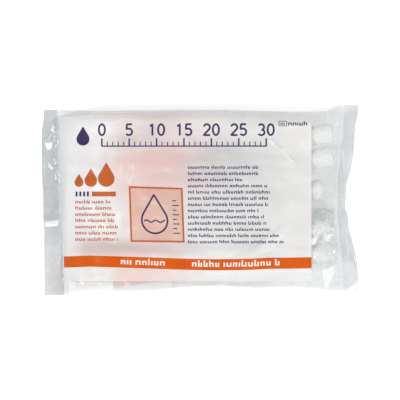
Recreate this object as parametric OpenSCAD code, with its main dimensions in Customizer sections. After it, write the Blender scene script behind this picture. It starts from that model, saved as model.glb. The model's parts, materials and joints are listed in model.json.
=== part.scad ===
// Sealed film pack of ten capped insulin syringes, millimetres.
// +X runs towards the plunger ends, +Z up from the face that the pack lies on, and the origin is
// the middle of that face.

/* [Pack] */
// Length of the pack over both crimps
pack_l = 159; // [152:1:175]
// Width of the pack over its widest corners
pack_w = 95.5; // [94:0.5:110]
// Thickness of the modelled film
film_t = 0.2; // [0.1:0.05:0.3]
// Gap between the front film and what it touches
film_gap = 0.05; // [0.05:0.01:0.2]
// Width of the left end crimp
left_crimp_w = 10.5; // [8:0.5:14]
// Width of the right end crimp at its corners
right_crimp_w = 7; // [5:0.5:9]
// Width of the right end crimp where it is drawn in
right_crimp_min_w = 3.2; // [2.5:0.1:5]
// Depth of the hollow in the right end, where the film is drawn in
right_notch = 7.2; // [2:0.2:8]
// Thickness of a crimp, both webs together
crimp_t = 0.4; // [0.3:0.05:0.6]
// Distance from one crimp ridge to the next
ridge_pitch = 1; // [0.8:0.1:2]
// Height of the crimp ridges
ridge_h = 0.15; // [0.05:0.05:0.2]
// Distance from one tooth of the zigzag cut to the next
tooth_pitch = 1.5; // [1:0.1:3]
// Depth of the teeth of the zigzag cut
tooth_h = 0.5; // [0.2:0.1:1]
// Width of the fin seal on the back
fin_w = 9.5; // [6:0.5:10]
// Thickness of the fin seal, two webs together
fin_t = 0.25; // [0.1:0.05:0.3]

/* [Print] */
// Length of the white ink panel
panel_l = 124; // [110:1:126]
// Distance from the left crimp to the panel
panel_inset = 0.5; // [0.3:0.1:2]
// Distance from the pack's upper edge to the panel
panel_top = 5.55; // [4.8:0.05:12]
// Distance from the pack's lower edge to the panel
panel_bottom = 7.75; // [6.8:0.05:12]
// Width of the colour stripe
stripe_w = 5.5; // [3:0.5:6]
// Distance from the panel's lower edge to the stripe
stripe_inset = 6.25; // [4:0.25:8]
// Thickness of an ink layer
ink_t = 0.06; // [0.05:0.01:0.1]

/* [Barrel] */
// Outer diameter of the barrel
barrel_d = 5.2; // [4.9:0.1:5.4]
// Bore of the barrel
bore_d = 3.2; // [3:0.1:3.4]
// Length of the barrel between its shoulder and its flange
barrel_l = 42.6; // [41:0.2:44]
// Thickness of the finger flange
flange_t = 1.2; // [1:0.1:1.6]
// Width of the finger flange across its round sides
flange_w = 11.2; // [10:0.1:11.2]
// Width of the finger flange across its flats
flange_flat = 9.8; // [9.6:0.1:9.9]
// Diameter of the collar behind the flange that holds the cap
collar_d = 7.7; // [7:0.1:7.8]
// Length of that collar
collar_l = 3; // [2:0.1:4]
// Diameter of the hub that holds the needle shield
hub_d = 4.6; // [4.2:0.1:4.8]
// Length of the hub
hub_l = 8.5; // [7:0.1:9]
// Diameter of the hub's tip
hub_tip_d = 3; // [2.6:0.1:3.4]

/* [Needle] */
// Outer diameter of the cannula
needle_d = 0.3; // [0.25:0.01:0.33]
// Bore of the cannula
needle_bore_d = 0.16; // [0.12:0.01:0.18]
// Length of the cannula outside the hub
needle_l = 8; // [5:0.5:8]
// Angle of the cannula's bevel
bevel_angle = 14; // [10:1:20]
// Diameter of the adhesive well in the hub's tip
well_d = 1.8; // [1.4:0.1:2]
// Depth of the adhesive well
well_depth = 1.6; // [1:0.1:2]

/* [Needle shield] */
// Length of the needle shield
shield_l = 46; // [42:0.5:47]
// Diameter of the needle shield over its ribs
shield_d = 7.4; // [7:0.1:7.6]
// Diameter of the rim at the shield's mouth
shield_rim_d = 8; // [7.6:0.1:8.2]
// Length of that rim
shield_rim_l = 2.4; // [1.5:0.1:4]
// Number of ribs round the shield
shield_ribs = 16; // [12:1:20]
// Height of the shield's ribs
shield_rib_h = 0.25; // [0.1:0.05:0.3]
// Bore of the shield's narrow end, round the needle
shield_needle_bore_d = 4; // [3:0.1:4.4]

/* [Plunger] */
// Diameter of the stopper over its sealing ribs
stopper_d = 3.16; // [2.9:0.01:3.18]
// Diameter of the stopper between its ribs
stopper_waist_d = 2.7; // [2.5:0.1:2.9]
// Length of the stopper
stopper_l = 4.5; // [3.5:0.1:5]
// Width of the rod's crossed blades
rod_w = 2.8; // [2.4:0.1:2.9]
// Thickness of each blade
blade_t = 0.7; // [0.6:0.1:1]
// Diameter of the thumb rest
thumb_d = 6.8; // [6:0.1:6.9]
// Thickness of the thumb rest
thumb_t = 1.4; // [1:0.1:2]
// Distance from the flange to the thumb rest with the plunger pushed home
thumb_reach = 15.4; // [14:0.2:16.4]

/* [Plunger cap] */
// Length of the plunger cap
cap_l = 20; // [19:0.5:21]
// Diameter of the plunger cap over its ribs
cap_d = 9.8; // [9.4:0.1:9.9]
// Bore of the plunger cap
cap_bore_d = 7.8; // [7.7:0.1:8]
// Thickness of the cap's closed end
cap_end_t = 1.2; // [0.8:0.1:1.6]
// Width of the chamfer round the closed end
cap_chamfer = 0.8; // [0.4:0.1:1]
// Number of ribs round the cap
cap_ribs = 28; // [20:1:32]
// Height of the cap's ribs
cap_rib_h = 0.22; // [0.1:0.02:0.3]
// Length of the smooth rim at the cap's mouth
cap_rim_l = 1; // [0.6:0.1:2]

/* [Layers] */
// Gap between two syringes that rest on each other, or on the film
seat_gap = 0.3; // [0.2:0.05:0.4]
// Room under an upper shield for it to slide off, above its seat
slide_room = 0.4; // [0.3:0.05:0.6]
// Height of the front film over the caps it lies on
crown_gap = 0.7; // [0.5:0.1:1.2]
// Width of the film's rounded sides
side_w = 12; // [10:0.5:14]
// Depth of the hollows that the film hangs into beside the upper syringes
hollow_h = 2.2; // [0:0.1:3]
// Width over which the film goes down into a hollow
hollow_slope_w = 8; // [6:0.5:12]
// Height of the film's soft waves
wave_h = 0.9; // [0:0.1:1.2]
// Distance from one of those waves to the next
wave_pitch = 21; // [18:1:30]
// Height of the film's crumpled folds at the lower corner of the plunger end
crumple_h = 1; // [0:0.1:1.2]
// Distance from one of those folds to the next
crumple_pitch = 9; // [8:0.5:12]
// Length of the film's slope at the needle end
left_slope_l = 34; // [30:1:38]
// Length of the film's slope at the plunger end
right_slope_l = 7; // [6.5:0.5:11]
// Distance from the pack's upper edge to the first cap's middle, upper layer
upper_top_room = 17.3; // [17:0.1:20]
// Distance from the pack's lower edge to the last cap's middle, upper layer
upper_bottom_room = 19.05; // [18:0.05:22]
// Distance from the pack's upper edge to the first cap's middle, lower layer
lower_top_room = 17.6; // [17:0.1:20]
// Distance from the pack's lower edge to the last cap's middle, lower layer
lower_bottom_room = 15.6; // [15:0.1:20]

/* [Hidden] */
$fn = 48;
COUNT = 5;

half_l = pack_l / 2;
half_w = pack_w / 2;

// Where each syringe lies, from the upper edge of the pack to the lower one: how far it has slid
// towards the plunger end, as a share of the pack's spare length, how much of its layer's spare
// width lies below it, as a share, and the angle that it is turned by.
upper_slide_shares = [0.917, 0.925, 0.738, 0.878, 0.895];
upper_below_shares = [1, 0.902, 0.577, 0.094, 0];
upper_yaw = [9.5, 9.5, 9, 8, 7.2];
lower_slide_shares = [0.626, 0.557, 0.449, 0.251, 0.217];
lower_below_shares = [1, 0.874, 0.612, 0.082, 0];
lower_yaw = [8, 8.2, 7.5, 6.5, 5.5];

// Outline of the pack: how far its long edges lie from the middle line, as shares of half its
// width, along shares of half its length.
top_edge_shares = [[-1, 0.948], [-0.94, 0.948], [-0.63, 0.938], [-0.1, 0.948], [0.13, 0.948],
    [0.35, 0.938], [0.58, 0.93], [0.74, 0.93], [0.8, 0.94], [0.88, 1], [1, 1]];
bottom_edge_shares = [[-1, 1], [-0.86, 0.99], [-0.63, 0.962], [-0.3, 0.95], [-0.1, 0.915],
    [0.13, 0.905], [0.35, 0.925], [0.58, 0.918], [0.74, 0.928], [0.8, 0.948], [1, 0.96]];

// Height of the back film's upper face, and the height that the front film starts from
back_top = film_t;
front_z = back_top + film_gap;
left_x = left_crimp_w - half_l;

// Syringe stations, measured from the flange's rear face towards the cap
shoulder_x = -flange_t - barrel_l;
hub_x = shoulder_x - hub_l;
mouth_gap = 0.2;
shield_mouth_x = shoulder_x - mouth_gap;
shield_tip_x = shield_mouth_x - shield_l;
needle_tip_x = hub_x - needle_l;
cap_mouth_x = seat_gap;
cap_end_x = cap_mouth_x + cap_l;

// Running fits
fit = 0.05;
small_fit = 0.01;
rib_step = 0.03;
shield_bore_d = hub_d + 2 * fit;
overrun = 0.5;

// Heights of the two layers and the tilt of the upper one, whose caps and shields rest on those
// of the lower one
lower_z = back_top + seat_gap + max(flange_flat, cap_d) / 2;
upper_z = lower_z + max(flange_flat, cap_d) + seat_gap;
tip_z = lower_z + shield_d + seat_gap + slide_room;
upper_tilt = asin((upper_z - tip_z) / -shield_tip_x);

// Spare length of the pack past a capped syringe, and spare width past the five caps of a layer
spare_l = fold_x(0) - left_x - (cap_end_x - shield_tip_x);
function spare_w(top_room, bottom_room) = pack_w - top_room - bottom_room - (COUNT - 1) * cap_d;
function flange_x(slide_share) = left_x - shield_tip_x + slide_share * spare_l;
function flange_y(i, top_room, bottom_room, below_share) = bottom_room - half_w
    + (COUNT - 1 - i) * cap_d + below_share * spare_w(top_room, bottom_room);

// One flange place and pair of angles for each syringe: upper layer first, then the lower one
seats = concat(
    [for (i = [0:COUNT - 1])
        [flange_x(upper_slide_shares[i]),
            flange_y(i, upper_top_room, upper_bottom_room, upper_below_shares[i]),
            upper_z, upper_tilt, upper_yaw[i]]],
    [for (i = [0:COUNT - 1])
        [flange_x(lower_slide_shares[i]),
            flange_y(i, lower_top_room, lower_bottom_room, lower_below_shares[i]),
            lower_z, 0, lower_yaw[i]]]);

// Puts a syringe piece, drawn along +Z from the flange's rear face, where syringe k lies
module seated(k) {
    seat = seats[k];
    translate([seat[0], seat[1], seat[2]])
        rotate([0, -seat[3], seat[4]])
            rotate([0, 90, 0])
                children();
}

// A straight-sided ring or disc from z0 to z1
module round_bar(d, z0, z1) {
    translate([0, 0, z0])
        cylinder(d = d, h = z1 - z0);
}

// A bar with evenly spaced sharp ribs
module ribbed_bar(d, rib_h, ribs, z0, z1) {
    translate([0, 0, z0])
        linear_extrude(z1 - z0)
            polygon([for (i = [0:2 * ribs - 1])
                (d / 2 - (i % 2) * rib_h) * [cos(180 * i / ribs), sin(180 * i / ribs)]]);
}

// Barrel: hub, tube, finger flange and cap collar
collar_chamfer = 0.3;
hub_land_l = 6.2;
module barrel() {
    color([0.86, 0.9, 0.92, 0.5])
        difference() {
            union() {
                rotate_extrude()
                    polygon([
                        [0, hub_x], [hub_tip_d / 2, hub_x],
                        [hub_d / 2, shoulder_x - hub_land_l], [hub_d / 2, shoulder_x],
                        [barrel_d / 2, shoulder_x], [barrel_d / 2, -flange_t / 2],
                        [collar_d / 2, -flange_t / 2], [collar_d / 2, collar_l - collar_chamfer],
                        [collar_d / 2 - collar_chamfer, collar_l], [0, collar_l]]);
                translate([0, 0, -flange_t])
                    linear_extrude(flange_t)
                        intersection() {
                            circle(d = flange_w);
                            square([flange_flat, flange_w], center = true);
                        }
            }
            round_bar(bore_d, shoulder_x, collar_l + overrun);
            round_bar(needle_d + 2 * small_fit, hub_x - overrun, shoulder_x + overrun);
            round_bar(well_d, hub_x - overrun, hub_x + well_depth);
        }
}

// Cannula: a steel tube with a bevelled point
needle_inner_l = 7.5;
module cannula() {
    difference() {
        round_bar(needle_d, needle_tip_x, hub_x + needle_inner_l);
        round_bar(needle_bore_d, needle_tip_x - overrun, hub_x + needle_inner_l + overrun);
        translate([needle_d / 2, 0, needle_tip_x])
            rotate([0, -bevel_angle, 0])
                translate([-2 * needle_d, -needle_d, -needle_d])
                    cube([2 * needle_d, 2 * needle_d, 2 * needle_d / sin(bevel_angle)]);
    }
}

module cannulas() {
    color("silver")
        for (k = [0:2 * COUNT - 1])
            seated(k)
                cannula();
}

// Adhesive bead: fills the hub's well and climbs the cannula
bead_h = 0.7;
bead_top_d = 0.6;
module adhesive_beads() {
    color([0.8, 0.86, 0.95, 0.7])
        for (k = [0:2 * COUNT - 1])
            seated(k)
                difference() {
                    rotate_extrude()
                        polygon([
                            [0, hub_x - bead_h], [bead_top_d / 2, hub_x - bead_h],
                            [well_d / 2 - small_fit, hub_x],
                            [well_d / 2 - small_fit, hub_x + well_depth - small_fit],
                            [0, hub_x + well_depth - small_fit]]);
                    round_bar(needle_d + 2 * small_fit, hub_x - bead_h - overrun,
                        hub_x + well_depth + overrun);
                }
}

// Needle shield: closed at its tip, ribbed, with a rim at its mouth
shield_tip_chamfer = 0.7;
shield_grip_l = 9;
shield_end_t = 6;
shield_cone_l = 6;
module needle_shield() {
    root_d = shield_d - 2 * (shield_rib_h + rib_step);
    color("orangered")
        difference() {
            union() {
                translate([0, 0, shield_tip_x])
                    cylinder(d1 = root_d - 2 * shield_tip_chamfer, d2 = root_d,
                        h = shield_tip_chamfer);
                ribbed_bar(shield_d, shield_rib_h, shield_ribs, shield_tip_x + shield_tip_chamfer,
                    shield_mouth_x - shield_rim_l / 2);
                round_bar(shield_rim_d, shield_mouth_x - shield_rim_l, shield_mouth_x);
            }
            round_bar(shield_bore_d, shield_mouth_x - shield_grip_l, shield_mouth_x + overrun);
            translate([0, 0, shield_mouth_x - shield_grip_l - shield_cone_l])
                cylinder(d1 = shield_needle_bore_d, d2 = shield_bore_d,
                    h = shield_cone_l + small_fit);
            round_bar(shield_needle_bore_d, shield_tip_x + shield_end_t,
                shield_mouth_x - shield_grip_l - shield_cone_l + small_fit);
        }
}

// Stopper: two sealing ribs, a low cone in front and a socket for the rod's knob
stopper_x = shoulder_x + mouth_gap;
stopper_rib_l = 1.1;
stopper_flank_share = 1.4;
stopper_cone_h = 0.3;
stem_d = 1.1;
stem_l = 1.2;
knob_d = 1.8;
knob_l = 0.9;
socket_fit = 0.03;
module stopper() {
    back_x = stopper_x + stopper_cone_h + stopper_l;
    color([0.16, 0.16, 0.18])
        difference() {
            rotate_extrude()
                polygon([
                    [0, stopper_x], [stopper_d / 2, stopper_x + stopper_cone_h],
                    [stopper_d / 2, stopper_x + stopper_cone_h + stopper_rib_l],
                    [stopper_waist_d / 2, stopper_x + stopper_cone_h + stopper_flank_share * stopper_rib_l],
                    [stopper_waist_d / 2, back_x - stopper_flank_share * stopper_rib_l],
                    [stopper_d / 2, back_x - stopper_rib_l],
                    [stopper_d / 2, back_x], [0, back_x]]);
            round_bar(stem_d + 2 * socket_fit, back_x - stem_l - small_fit, back_x + overrun);
            round_bar(knob_d + 2 * socket_fit, back_x - stem_l - knob_l - socket_fit,
                back_x - stem_l);
        }
}

// Plunger rod: knob, crossed blades and thumb rest
rod_disc_t = 0.8;
thumb_chamfer = 0.3;
thumb_ring_d = 4.4;
thumb_ring_w = 0.5;
thumb_ring_depth = 0.25;
module plunger_rod() {
    back_x = stopper_x + stopper_cone_h + stopper_l;
    rod_x = back_x + socket_fit;
    blade_l = thumb_reach - rod_x;
    color("white")
        difference() {
            union() {
                round_bar(knob_d, back_x - stem_l - knob_l, back_x - stem_l - socket_fit);
                round_bar(stem_d, back_x - stem_l - 2 * socket_fit, rod_x + rod_disc_t);
                round_bar(rod_w, rod_x, rod_x + rod_disc_t);
                for (turn = [0, 90])
                    rotate([0, 0, turn])
                        translate([-rod_w / 2, -blade_t / 2, rod_x + rod_disc_t / 2])
                            cube([rod_w, blade_t, blade_l]);
                round_bar(thumb_d - 2 * thumb_chamfer, thumb_reach, thumb_reach + thumb_t);
                round_bar(thumb_d, thumb_reach + thumb_chamfer,
                    thumb_reach + thumb_t - thumb_chamfer);
            }
            difference() {
                round_bar(thumb_ring_d, thumb_reach + thumb_t - thumb_ring_depth,
                    thumb_reach + thumb_t + overrun);
                round_bar(thumb_ring_d - 2 * thumb_ring_w, thumb_reach,
                    thumb_reach + thumb_t + 2 * overrun);
            }
        }
}

// Plunger cap: ribbed cup over the collar and the thumb rest
module plunger_cap() {
    ribs_d = cap_d - 2 * rib_step;
    root_d = ribs_d - 2 * (cap_rib_h + rib_step);
    color("white")
        difference() {
            union() {
                round_bar(cap_d, cap_mouth_x, cap_mouth_x + cap_rim_l);
                ribbed_bar(ribs_d, cap_rib_h, cap_ribs, cap_mouth_x + cap_rim_l / 2,
                    cap_end_x - cap_chamfer);
                translate([0, 0, cap_end_x - cap_chamfer])
                    cylinder(d1 = root_d, d2 = root_d - 2 * cap_chamfer, h = cap_chamfer);
            }
            round_bar(cap_bore_d, cap_mouth_x - overrun, cap_end_x - cap_end_t);
        }
}

// The pack's outline in plan
function top_y(x) = half_w * lookup(x / half_l, top_edge_shares);
function bottom_y(x) = -half_w * lookup(x / half_l, bottom_edge_shares);

// How far the right end is drawn in at y: 0 at the corners, 1 in the middle
function drawn_in(y) = pow(cos(90 * min(abs(y) / half_w, 1)), 2);
function right_edge_x(y) = half_l - right_notch * drawn_in(y);
function fold_x(y) = right_edge_x(y) - right_crimp_w
    + (right_crimp_w - right_crimp_min_w) * drawn_in(y);

// Shape of a rounded shoulder: 0 at the rim, 1 from the given width on
function shoulder(d, width) = pow(1 - pow(1 - min(max(d / width, 0), 1), 4), 1 / 3);
function long_shoulder(d, width) = pow(1 - pow(1 - min(max(d / width, 0), 1), 3), 1 / 2);

// Depth of the film's hollows at a point: none over the width of a cap along each upper syringe
function beside(x, y, seat) =
    abs((x - seat[0]) * sin(seat[4]) - (y - seat[1]) * cos(seat[4])) - cap_d / 2;
function hollow_z(x, y) =
    let (
        d = min([for (k = [0:COUNT - 1]) beside(x, y, seats[k])]),
        t = min(max(d / hollow_slope_w, 0), 1))
    hollow_h * t * t * (3 - 2 * t);

// Height of the film's waves at a point: two sets that cross each other
wave_turns = [35, 118];
wave_stretch = [1, 1.3];
function swell(x, y, i) =
    (1 + sin(360 * (x * cos(wave_turns[i]) + y * sin(wave_turns[i])) / (wave_pitch * wave_stretch[i]))) / 2;
function wave_z(x, y) = wave_h * (swell(x, y, 0) + swell(x, y, 1)) / 2;

// Height of the sharp folds past the ink panel, which fade out towards the pack's middle line
crumple_fade_w = 8;
fold_lean = 0.6;
function sharp_fold(t) = abs(2 * (t - floor(t)) - 1);
function crumple_z(x, y) = crumple_h
    * min(max((x - panel_right_x) / crumple_pitch, 0), 1) * min(max(-y / crumple_fade_w, 0), 1)
    * (sharp_fold((y + fold_lean * x) / crumple_pitch) + sharp_fold((x - fold_lean * y) / crumple_pitch)) / 2;

// Height of the front film's outer face: it lies over the upper caps, and comes down on all sides
crown_x = seats[0][0];
function crown_z(x, y) = upper_z + cap_d / 2 + crown_gap + (x - crown_x) * tan(upper_tilt)
    - hollow_z(x, y) + wave_z(x, y) + crumple_z(x, y);
function film_z(x, y) = front_z + (crown_z(x, y) - front_z)
    * long_shoulder(x - left_x, left_slope_l)
    * shoulder(fold_x(y) - x, right_slope_l)
    * shoulder(top_y(x) - y, side_w)
    * shoulder(y - bottom_y(x), side_w);

// Lines of the film's mesh. They close up where the film turns down, and some of them run along
// the edges of the ink.
panel_left_x = left_x + panel_inset;
panel_right_x = panel_left_x + panel_l;
panel_low_y = panel_bottom - half_w;
panel_high_y = half_w - panel_top;
stripe_low_y = panel_low_y + stripe_inset;
stripe_high_y = stripe_low_y + stripe_w;
upper_zone_y = panel_high_y - side_w;
SIDE_ROWS = 4;
BELOW_STRIPE_ROWS = 3;
STRIPE_ROWS = 2;
function squares(n) = [for (i = [1:n]) pow(i / n, 2)];
function roots(n) = [for (i = [1:n]) 1 - pow(1 - i / n, 2)];
function steps(n) = [for (i = [1:n]) i / n];
function along(a, b, shares) = [for (s = shares) a + (b - a) * s];
x_panel = concat([panel_left_x],
    along(panel_left_x, left_x + left_slope_l, squares(10)),
    along(left_x + left_slope_l, panel_right_x, steps(16)));
y_panel = concat([panel_low_y],
    along(panel_low_y, stripe_low_y, steps(BELOW_STRIPE_ROWS)),
    along(stripe_low_y, stripe_high_y, steps(STRIPE_ROWS)),
    along(stripe_high_y, upper_zone_y, steps(17)),
    along(upper_zone_y, panel_high_y, roots(6)));
function x_line(y) = concat([left_x], x_panel, along(panel_right_x, fold_x(y), roots(9)));
function y_line(x) = concat([bottom_y(x)], along(bottom_y(x), panel_low_y, squares(SIDE_ROWS)),
    [for (i = [1:len(y_panel) - 1]) y_panel[i]], along(panel_high_y, top_y(x), roots(SIDE_ROWS)));

// A point of the film moved out from the pack's middle by d
function moved_out(p, d) = [
    p[0] * (1 + d / half_l),
    p[1] * (1 + d / half_w),
    front_z + (p[2] - front_z) * (1 + d / (upper_z + cap_d))];

// Closed sheet between two faces of the same nx by ny grid of points
module sheet(outer, inner, nx, ny) {
    n = nx * ny;
    cells = [for (i = [0:nx - 2]) for (j = [0:ny - 2]) i * ny + j];
    rim = concat(
        [for (i = [0:nx - 1]) i * ny],
        [for (j = [1:ny - 1]) (nx - 1) * ny + j],
        [for (i = [nx - 2:-1:0]) i * ny + ny - 1],
        [for (j = [ny - 2:-1:1]) j]);
    polyhedron(
        points = concat(outer, inner),
        faces = concat(
            [for (c = cells) [c, c + 1, c + ny]],
            [for (c = cells) [c + 1, c + ny + 1, c + ny]],
            [for (c = cells) [n + c, n + c + ny, n + c + 1]],
            [for (c = cells) [n + c + 1, n + c + ny, n + c + ny + 1]],
            [for (r = [0:len(rim) - 1])
                [rim[r], rim[(r + 1) % len(rim)], n + rim[(r + 1) % len(rim)]]],
            [for (r = [0:len(rim) - 1])
                [rim[r], n + rim[(r + 1) % len(rim)], n + rim[r]]]));
}

// The film's outer face at line i along the pack and line j across it. The lines that cross the
// pack bend with the right fold, so a point's place comes from both.
nx_film = len(x_line(0));
ny_film = len(y_line(0));
function film_point(i, j) =
    let (
        rough_x = x_line(0)[i],
        y = y_line(rough_x)[j],
        x = x_line(y)[i],
        edge_y = y_line(x)[j])
    [x, edge_y, film_z(x, edge_y)];

module film_patch(i0, i1, j0, j1, d_outer, d_inner) {
    face = [for (i = [i0:i1]) for (j = [j0:j1]) film_point(i, j)];
    sheet([for (p = face) moved_out(p, d_outer)], [for (p = face) moved_out(p, d_inner)],
        i1 - i0 + 1, j1 - j0 + 1);
}

module front_film() {
    color([0.82, 0.86, 0.9, 0.35])
        film_patch(0, nx_film - 1, 0, ny_film - 1, 0, -film_t);
}

// First and last mesh lines of the ink panel and of the stripe on it
panel_i = [1, len(x_panel)];
panel_j = [SIDE_ROWS, SIDE_ROWS - 1 + len(y_panel)];
stripe_j = [panel_j[0] + BELOW_STRIPE_ROWS, panel_j[0] + BELOW_STRIPE_ROWS + STRIPE_ROWS];
module ink_panel() {
    color([0.97, 0.97, 0.97, 0.8])
        film_patch(panel_i[0], panel_i[1], panel_j[0], panel_j[1], film_gap + ink_t, film_gap);
}

module ink_stripe() {
    color("orangered")
        film_patch(panel_i[0], panel_i[1], stripe_j[0], stripe_j[1],
            2 * (film_gap + ink_t), 2 * film_gap + ink_t);
}

// Points of the zigzag cut from y0 to y1, on the side that end_x gives, teeth pointing by side
function tooth_count(y0, y1) = 2 * round(abs(y1 - y0) / tooth_pitch);
function left_cut(y0, y1) = let (n = tooth_count(y0, y1))
    [for (i = [0:n]) [(i % 2) * tooth_h - half_l, y0 + (y1 - y0) * i / n]];
function right_cut(y0, y1) = let (n = tooth_count(y0, y1))
    [for (i = [0:n]) let (y = y0 + (y1 - y0) * i / n) [right_edge_x(y) - (i % 2) * tooth_h, y]];

// Film outline between two stations along the pack, from the lower left corner round
EDGE_STEPS = 40;
edge_x = [for (i = [1:EDGE_STEPS - 1]) pack_l * (i / EDGE_STEPS) - half_l];
function outline() = concat(
    [for (x = edge_x) [x, bottom_y(x)]],
    right_cut(bottom_y(half_l), top_y(half_l)),
    [for (i = [len(edge_x) - 1:-1:0]) [edge_x[i], top_y(edge_x[i])]],
    left_cut(top_y(-half_l), bottom_y(-half_l)));

// Back film: one web, lying flat and stepping over the fin seal
fin_side_room = 0.9;
fin_end_room = 2.5;
fin_y = seats[COUNT + 2][1] - cap_d / 2 - fin_w - fin_side_room;
fin_left_x = left_x + fin_end_room;
fin_right_x = fold_x(fin_y) - fin_end_room;
module back_film() {
    color([0.82, 0.86, 0.9, 0.35])
        difference() {
            union() {
                linear_extrude(film_t)
                    polygon(outline());
                translate([fin_left_x - film_t - film_gap, fin_y - film_t - film_gap, 0])
                    cube([fin_right_x - fin_left_x + 2 * (film_t + film_gap),
                        fin_w + 2 * (film_t + film_gap), fin_t + film_gap + film_t]);
            }
            translate([fin_left_x - film_gap, fin_y - film_gap, -overrun])
                cube([fin_right_x - fin_left_x + 2 * film_gap, fin_w + 2 * film_gap,
                    overrun + fin_t + film_gap]);
        }
}

// Fin seal: two webs welded in fine ridges along the pack, folded flat under the back film
fin_ridges = 8;
module back_fin_seal() {
    ridge = fin_w / fin_ridges;
    color([0.8, 0.84, 0.88, 0.5])
        translate([fin_left_x, fin_y, 0])
            rotate([90, 0, 90])
                linear_extrude(fin_right_x - fin_left_x)
                    polygon(concat([[0, 0], [fin_w, 0]],
                        [for (i = [2 * fin_ridges:-1:0])
                            [i * ridge / 2, fin_t - (i % 2) * fin_t / 4]]));
}

// Left crimp: ridges that run across the pack, cut off in a zigzag
module left_crimp() {
    ridges = round(left_crimp_w / ridge_pitch);
    color([0.74, 0.79, 0.84, 0.6])
        translate([0, 0, back_top])
            intersection() {
                rotate([90, 0, 0])
                    translate([-half_l, 0, -half_w])
                        linear_extrude(pack_w)
                            polygon(concat([[0, 0], [left_crimp_w - film_gap, 0]],
                                [for (i = [2 * ridges:-1:0])
                                    [i * (left_crimp_w - film_gap) / (2 * ridges),
                                        crimp_t - (i % 2) * ridge_h]]));
                linear_extrude(crimp_t)
                    polygon(outline());
            }
}

// Right crimp: the front web's half, from the fold to the zigzag cut
module right_crimp() {
    color([0.74, 0.79, 0.84, 0.6])
        translate([0, 0, front_z])
            linear_extrude(crimp_t)
                polygon(concat(
                    right_cut(bottom_y(half_l), top_y(half_l)),
                    [for (j = [ny_film - 1:-1:0])
                        let (edge = film_point(nx_film - 1, j))
                        [edge[0] + film_gap, edge[1]]]));
}

back_film();
back_fin_seal();
left_crimp();
right_crimp();
front_film();
ink_panel();
ink_stripe();
cannulas();
adhesive_beads();
for (k = [0:2 * COUNT - 1]) {
    number = str(k < 9 ? "0" : "", k + 1);
    seated(k) barrel();
    seated(k) needle_shield();
    seated(k) plunger_rod();
    seated(k) stopper();
    seated(k) plunger_cap();
}
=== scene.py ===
"""Looks of a sealed film pack of ten capped insulin syringes, seen from straight above."""

import json
import logging
import math
import random
from dataclasses import dataclass, field
from enum import Enum
from functools import cache
from typing import ClassVar, Iterable

import bpy
import numpy as np
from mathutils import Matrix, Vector
from mathutils.bvhtree import BVHTree


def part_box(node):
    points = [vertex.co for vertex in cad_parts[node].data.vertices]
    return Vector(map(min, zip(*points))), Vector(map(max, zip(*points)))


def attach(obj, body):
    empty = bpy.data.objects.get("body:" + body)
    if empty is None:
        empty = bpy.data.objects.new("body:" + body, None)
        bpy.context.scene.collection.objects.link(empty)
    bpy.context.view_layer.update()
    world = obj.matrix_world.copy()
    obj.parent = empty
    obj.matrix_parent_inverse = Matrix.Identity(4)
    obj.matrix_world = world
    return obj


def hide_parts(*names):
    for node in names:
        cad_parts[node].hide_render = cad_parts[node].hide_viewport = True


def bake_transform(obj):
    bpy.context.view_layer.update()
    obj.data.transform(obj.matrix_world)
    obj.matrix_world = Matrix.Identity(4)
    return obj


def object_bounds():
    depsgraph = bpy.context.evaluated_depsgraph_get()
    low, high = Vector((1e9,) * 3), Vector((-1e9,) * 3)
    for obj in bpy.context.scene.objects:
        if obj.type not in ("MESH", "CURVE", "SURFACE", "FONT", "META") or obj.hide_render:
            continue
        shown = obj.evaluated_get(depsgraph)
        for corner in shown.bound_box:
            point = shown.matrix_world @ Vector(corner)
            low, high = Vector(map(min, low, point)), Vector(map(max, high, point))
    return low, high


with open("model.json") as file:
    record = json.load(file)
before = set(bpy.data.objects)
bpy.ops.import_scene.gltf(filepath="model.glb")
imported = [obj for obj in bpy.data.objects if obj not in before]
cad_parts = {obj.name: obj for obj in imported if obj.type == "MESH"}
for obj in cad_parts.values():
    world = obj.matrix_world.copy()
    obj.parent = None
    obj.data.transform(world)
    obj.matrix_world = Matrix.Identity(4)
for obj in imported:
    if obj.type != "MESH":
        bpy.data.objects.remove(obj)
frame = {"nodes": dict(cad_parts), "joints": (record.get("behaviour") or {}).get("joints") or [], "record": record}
CAD_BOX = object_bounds()
MM = 0.001
SYRINGES = 10
SCALE_UNITS = 30
SCALE_GROUP = 5
FAR = 1e3
OVERHEAD = 0.1
FITTING_ROUNDS = 4
RIM = 0.001
log = logging.getLogger("pack")


class Body(str, Enum):
    """The moving groups that film pieces ride on."""

    BAG = "bag"
    FRONT = "bag_front"


class Slot(str, Enum):
    """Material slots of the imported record."""

    FILM = "film"
    WELD = "film_weld"
    WHITE_INK = "white_ink"
    ORANGE_INK = "orange_ink"
    CLEAR = "clear_plastic"
    ORANGE = "orange_plastic"
    WHITE = "white_plastic"
    CAP = "cap_plastic"
    RUBBER = "rubber"
    STEEL = "steel"
    ADHESIVE = "adhesive"


def numbered(kind: str) -> list[str]:
    """Node names of one kind of syringe piece.

    Args:
        kind: Name without its number, such as "barrel".

    Returns:
        The ten node names, in order.
    """
    return [f"{kind}_{k:02d}" for k in range(1, SYRINGES + 1)]


def smooth_step(t: np.ndarray) -> np.ndarray:
    """Smooth rise from 0 at t = 0 to 1 at t = 1."""
    t = np.clip(t, 0, 1)
    return t * t * (3 - 2 * t)


@dataclass(frozen=True)
class Ramp:
    """A smooth rise from 0 to its top: it begins at a start and ends a reach further on.

    With a negative reach it rises the other way.
    """

    start: float
    reach: float
    top: float = 1.0

    def at(self, place: np.ndarray) -> np.ndarray:
        """Its value at places."""
        return self.top * smooth_step((place - self.start) / self.reach)


@dataclass(frozen=True)
class Seat:
    """Where a syringe lies: its number, the middle of its flange and the way its plunger draws."""

    number: str
    base: Vector
    way: Vector


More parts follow.
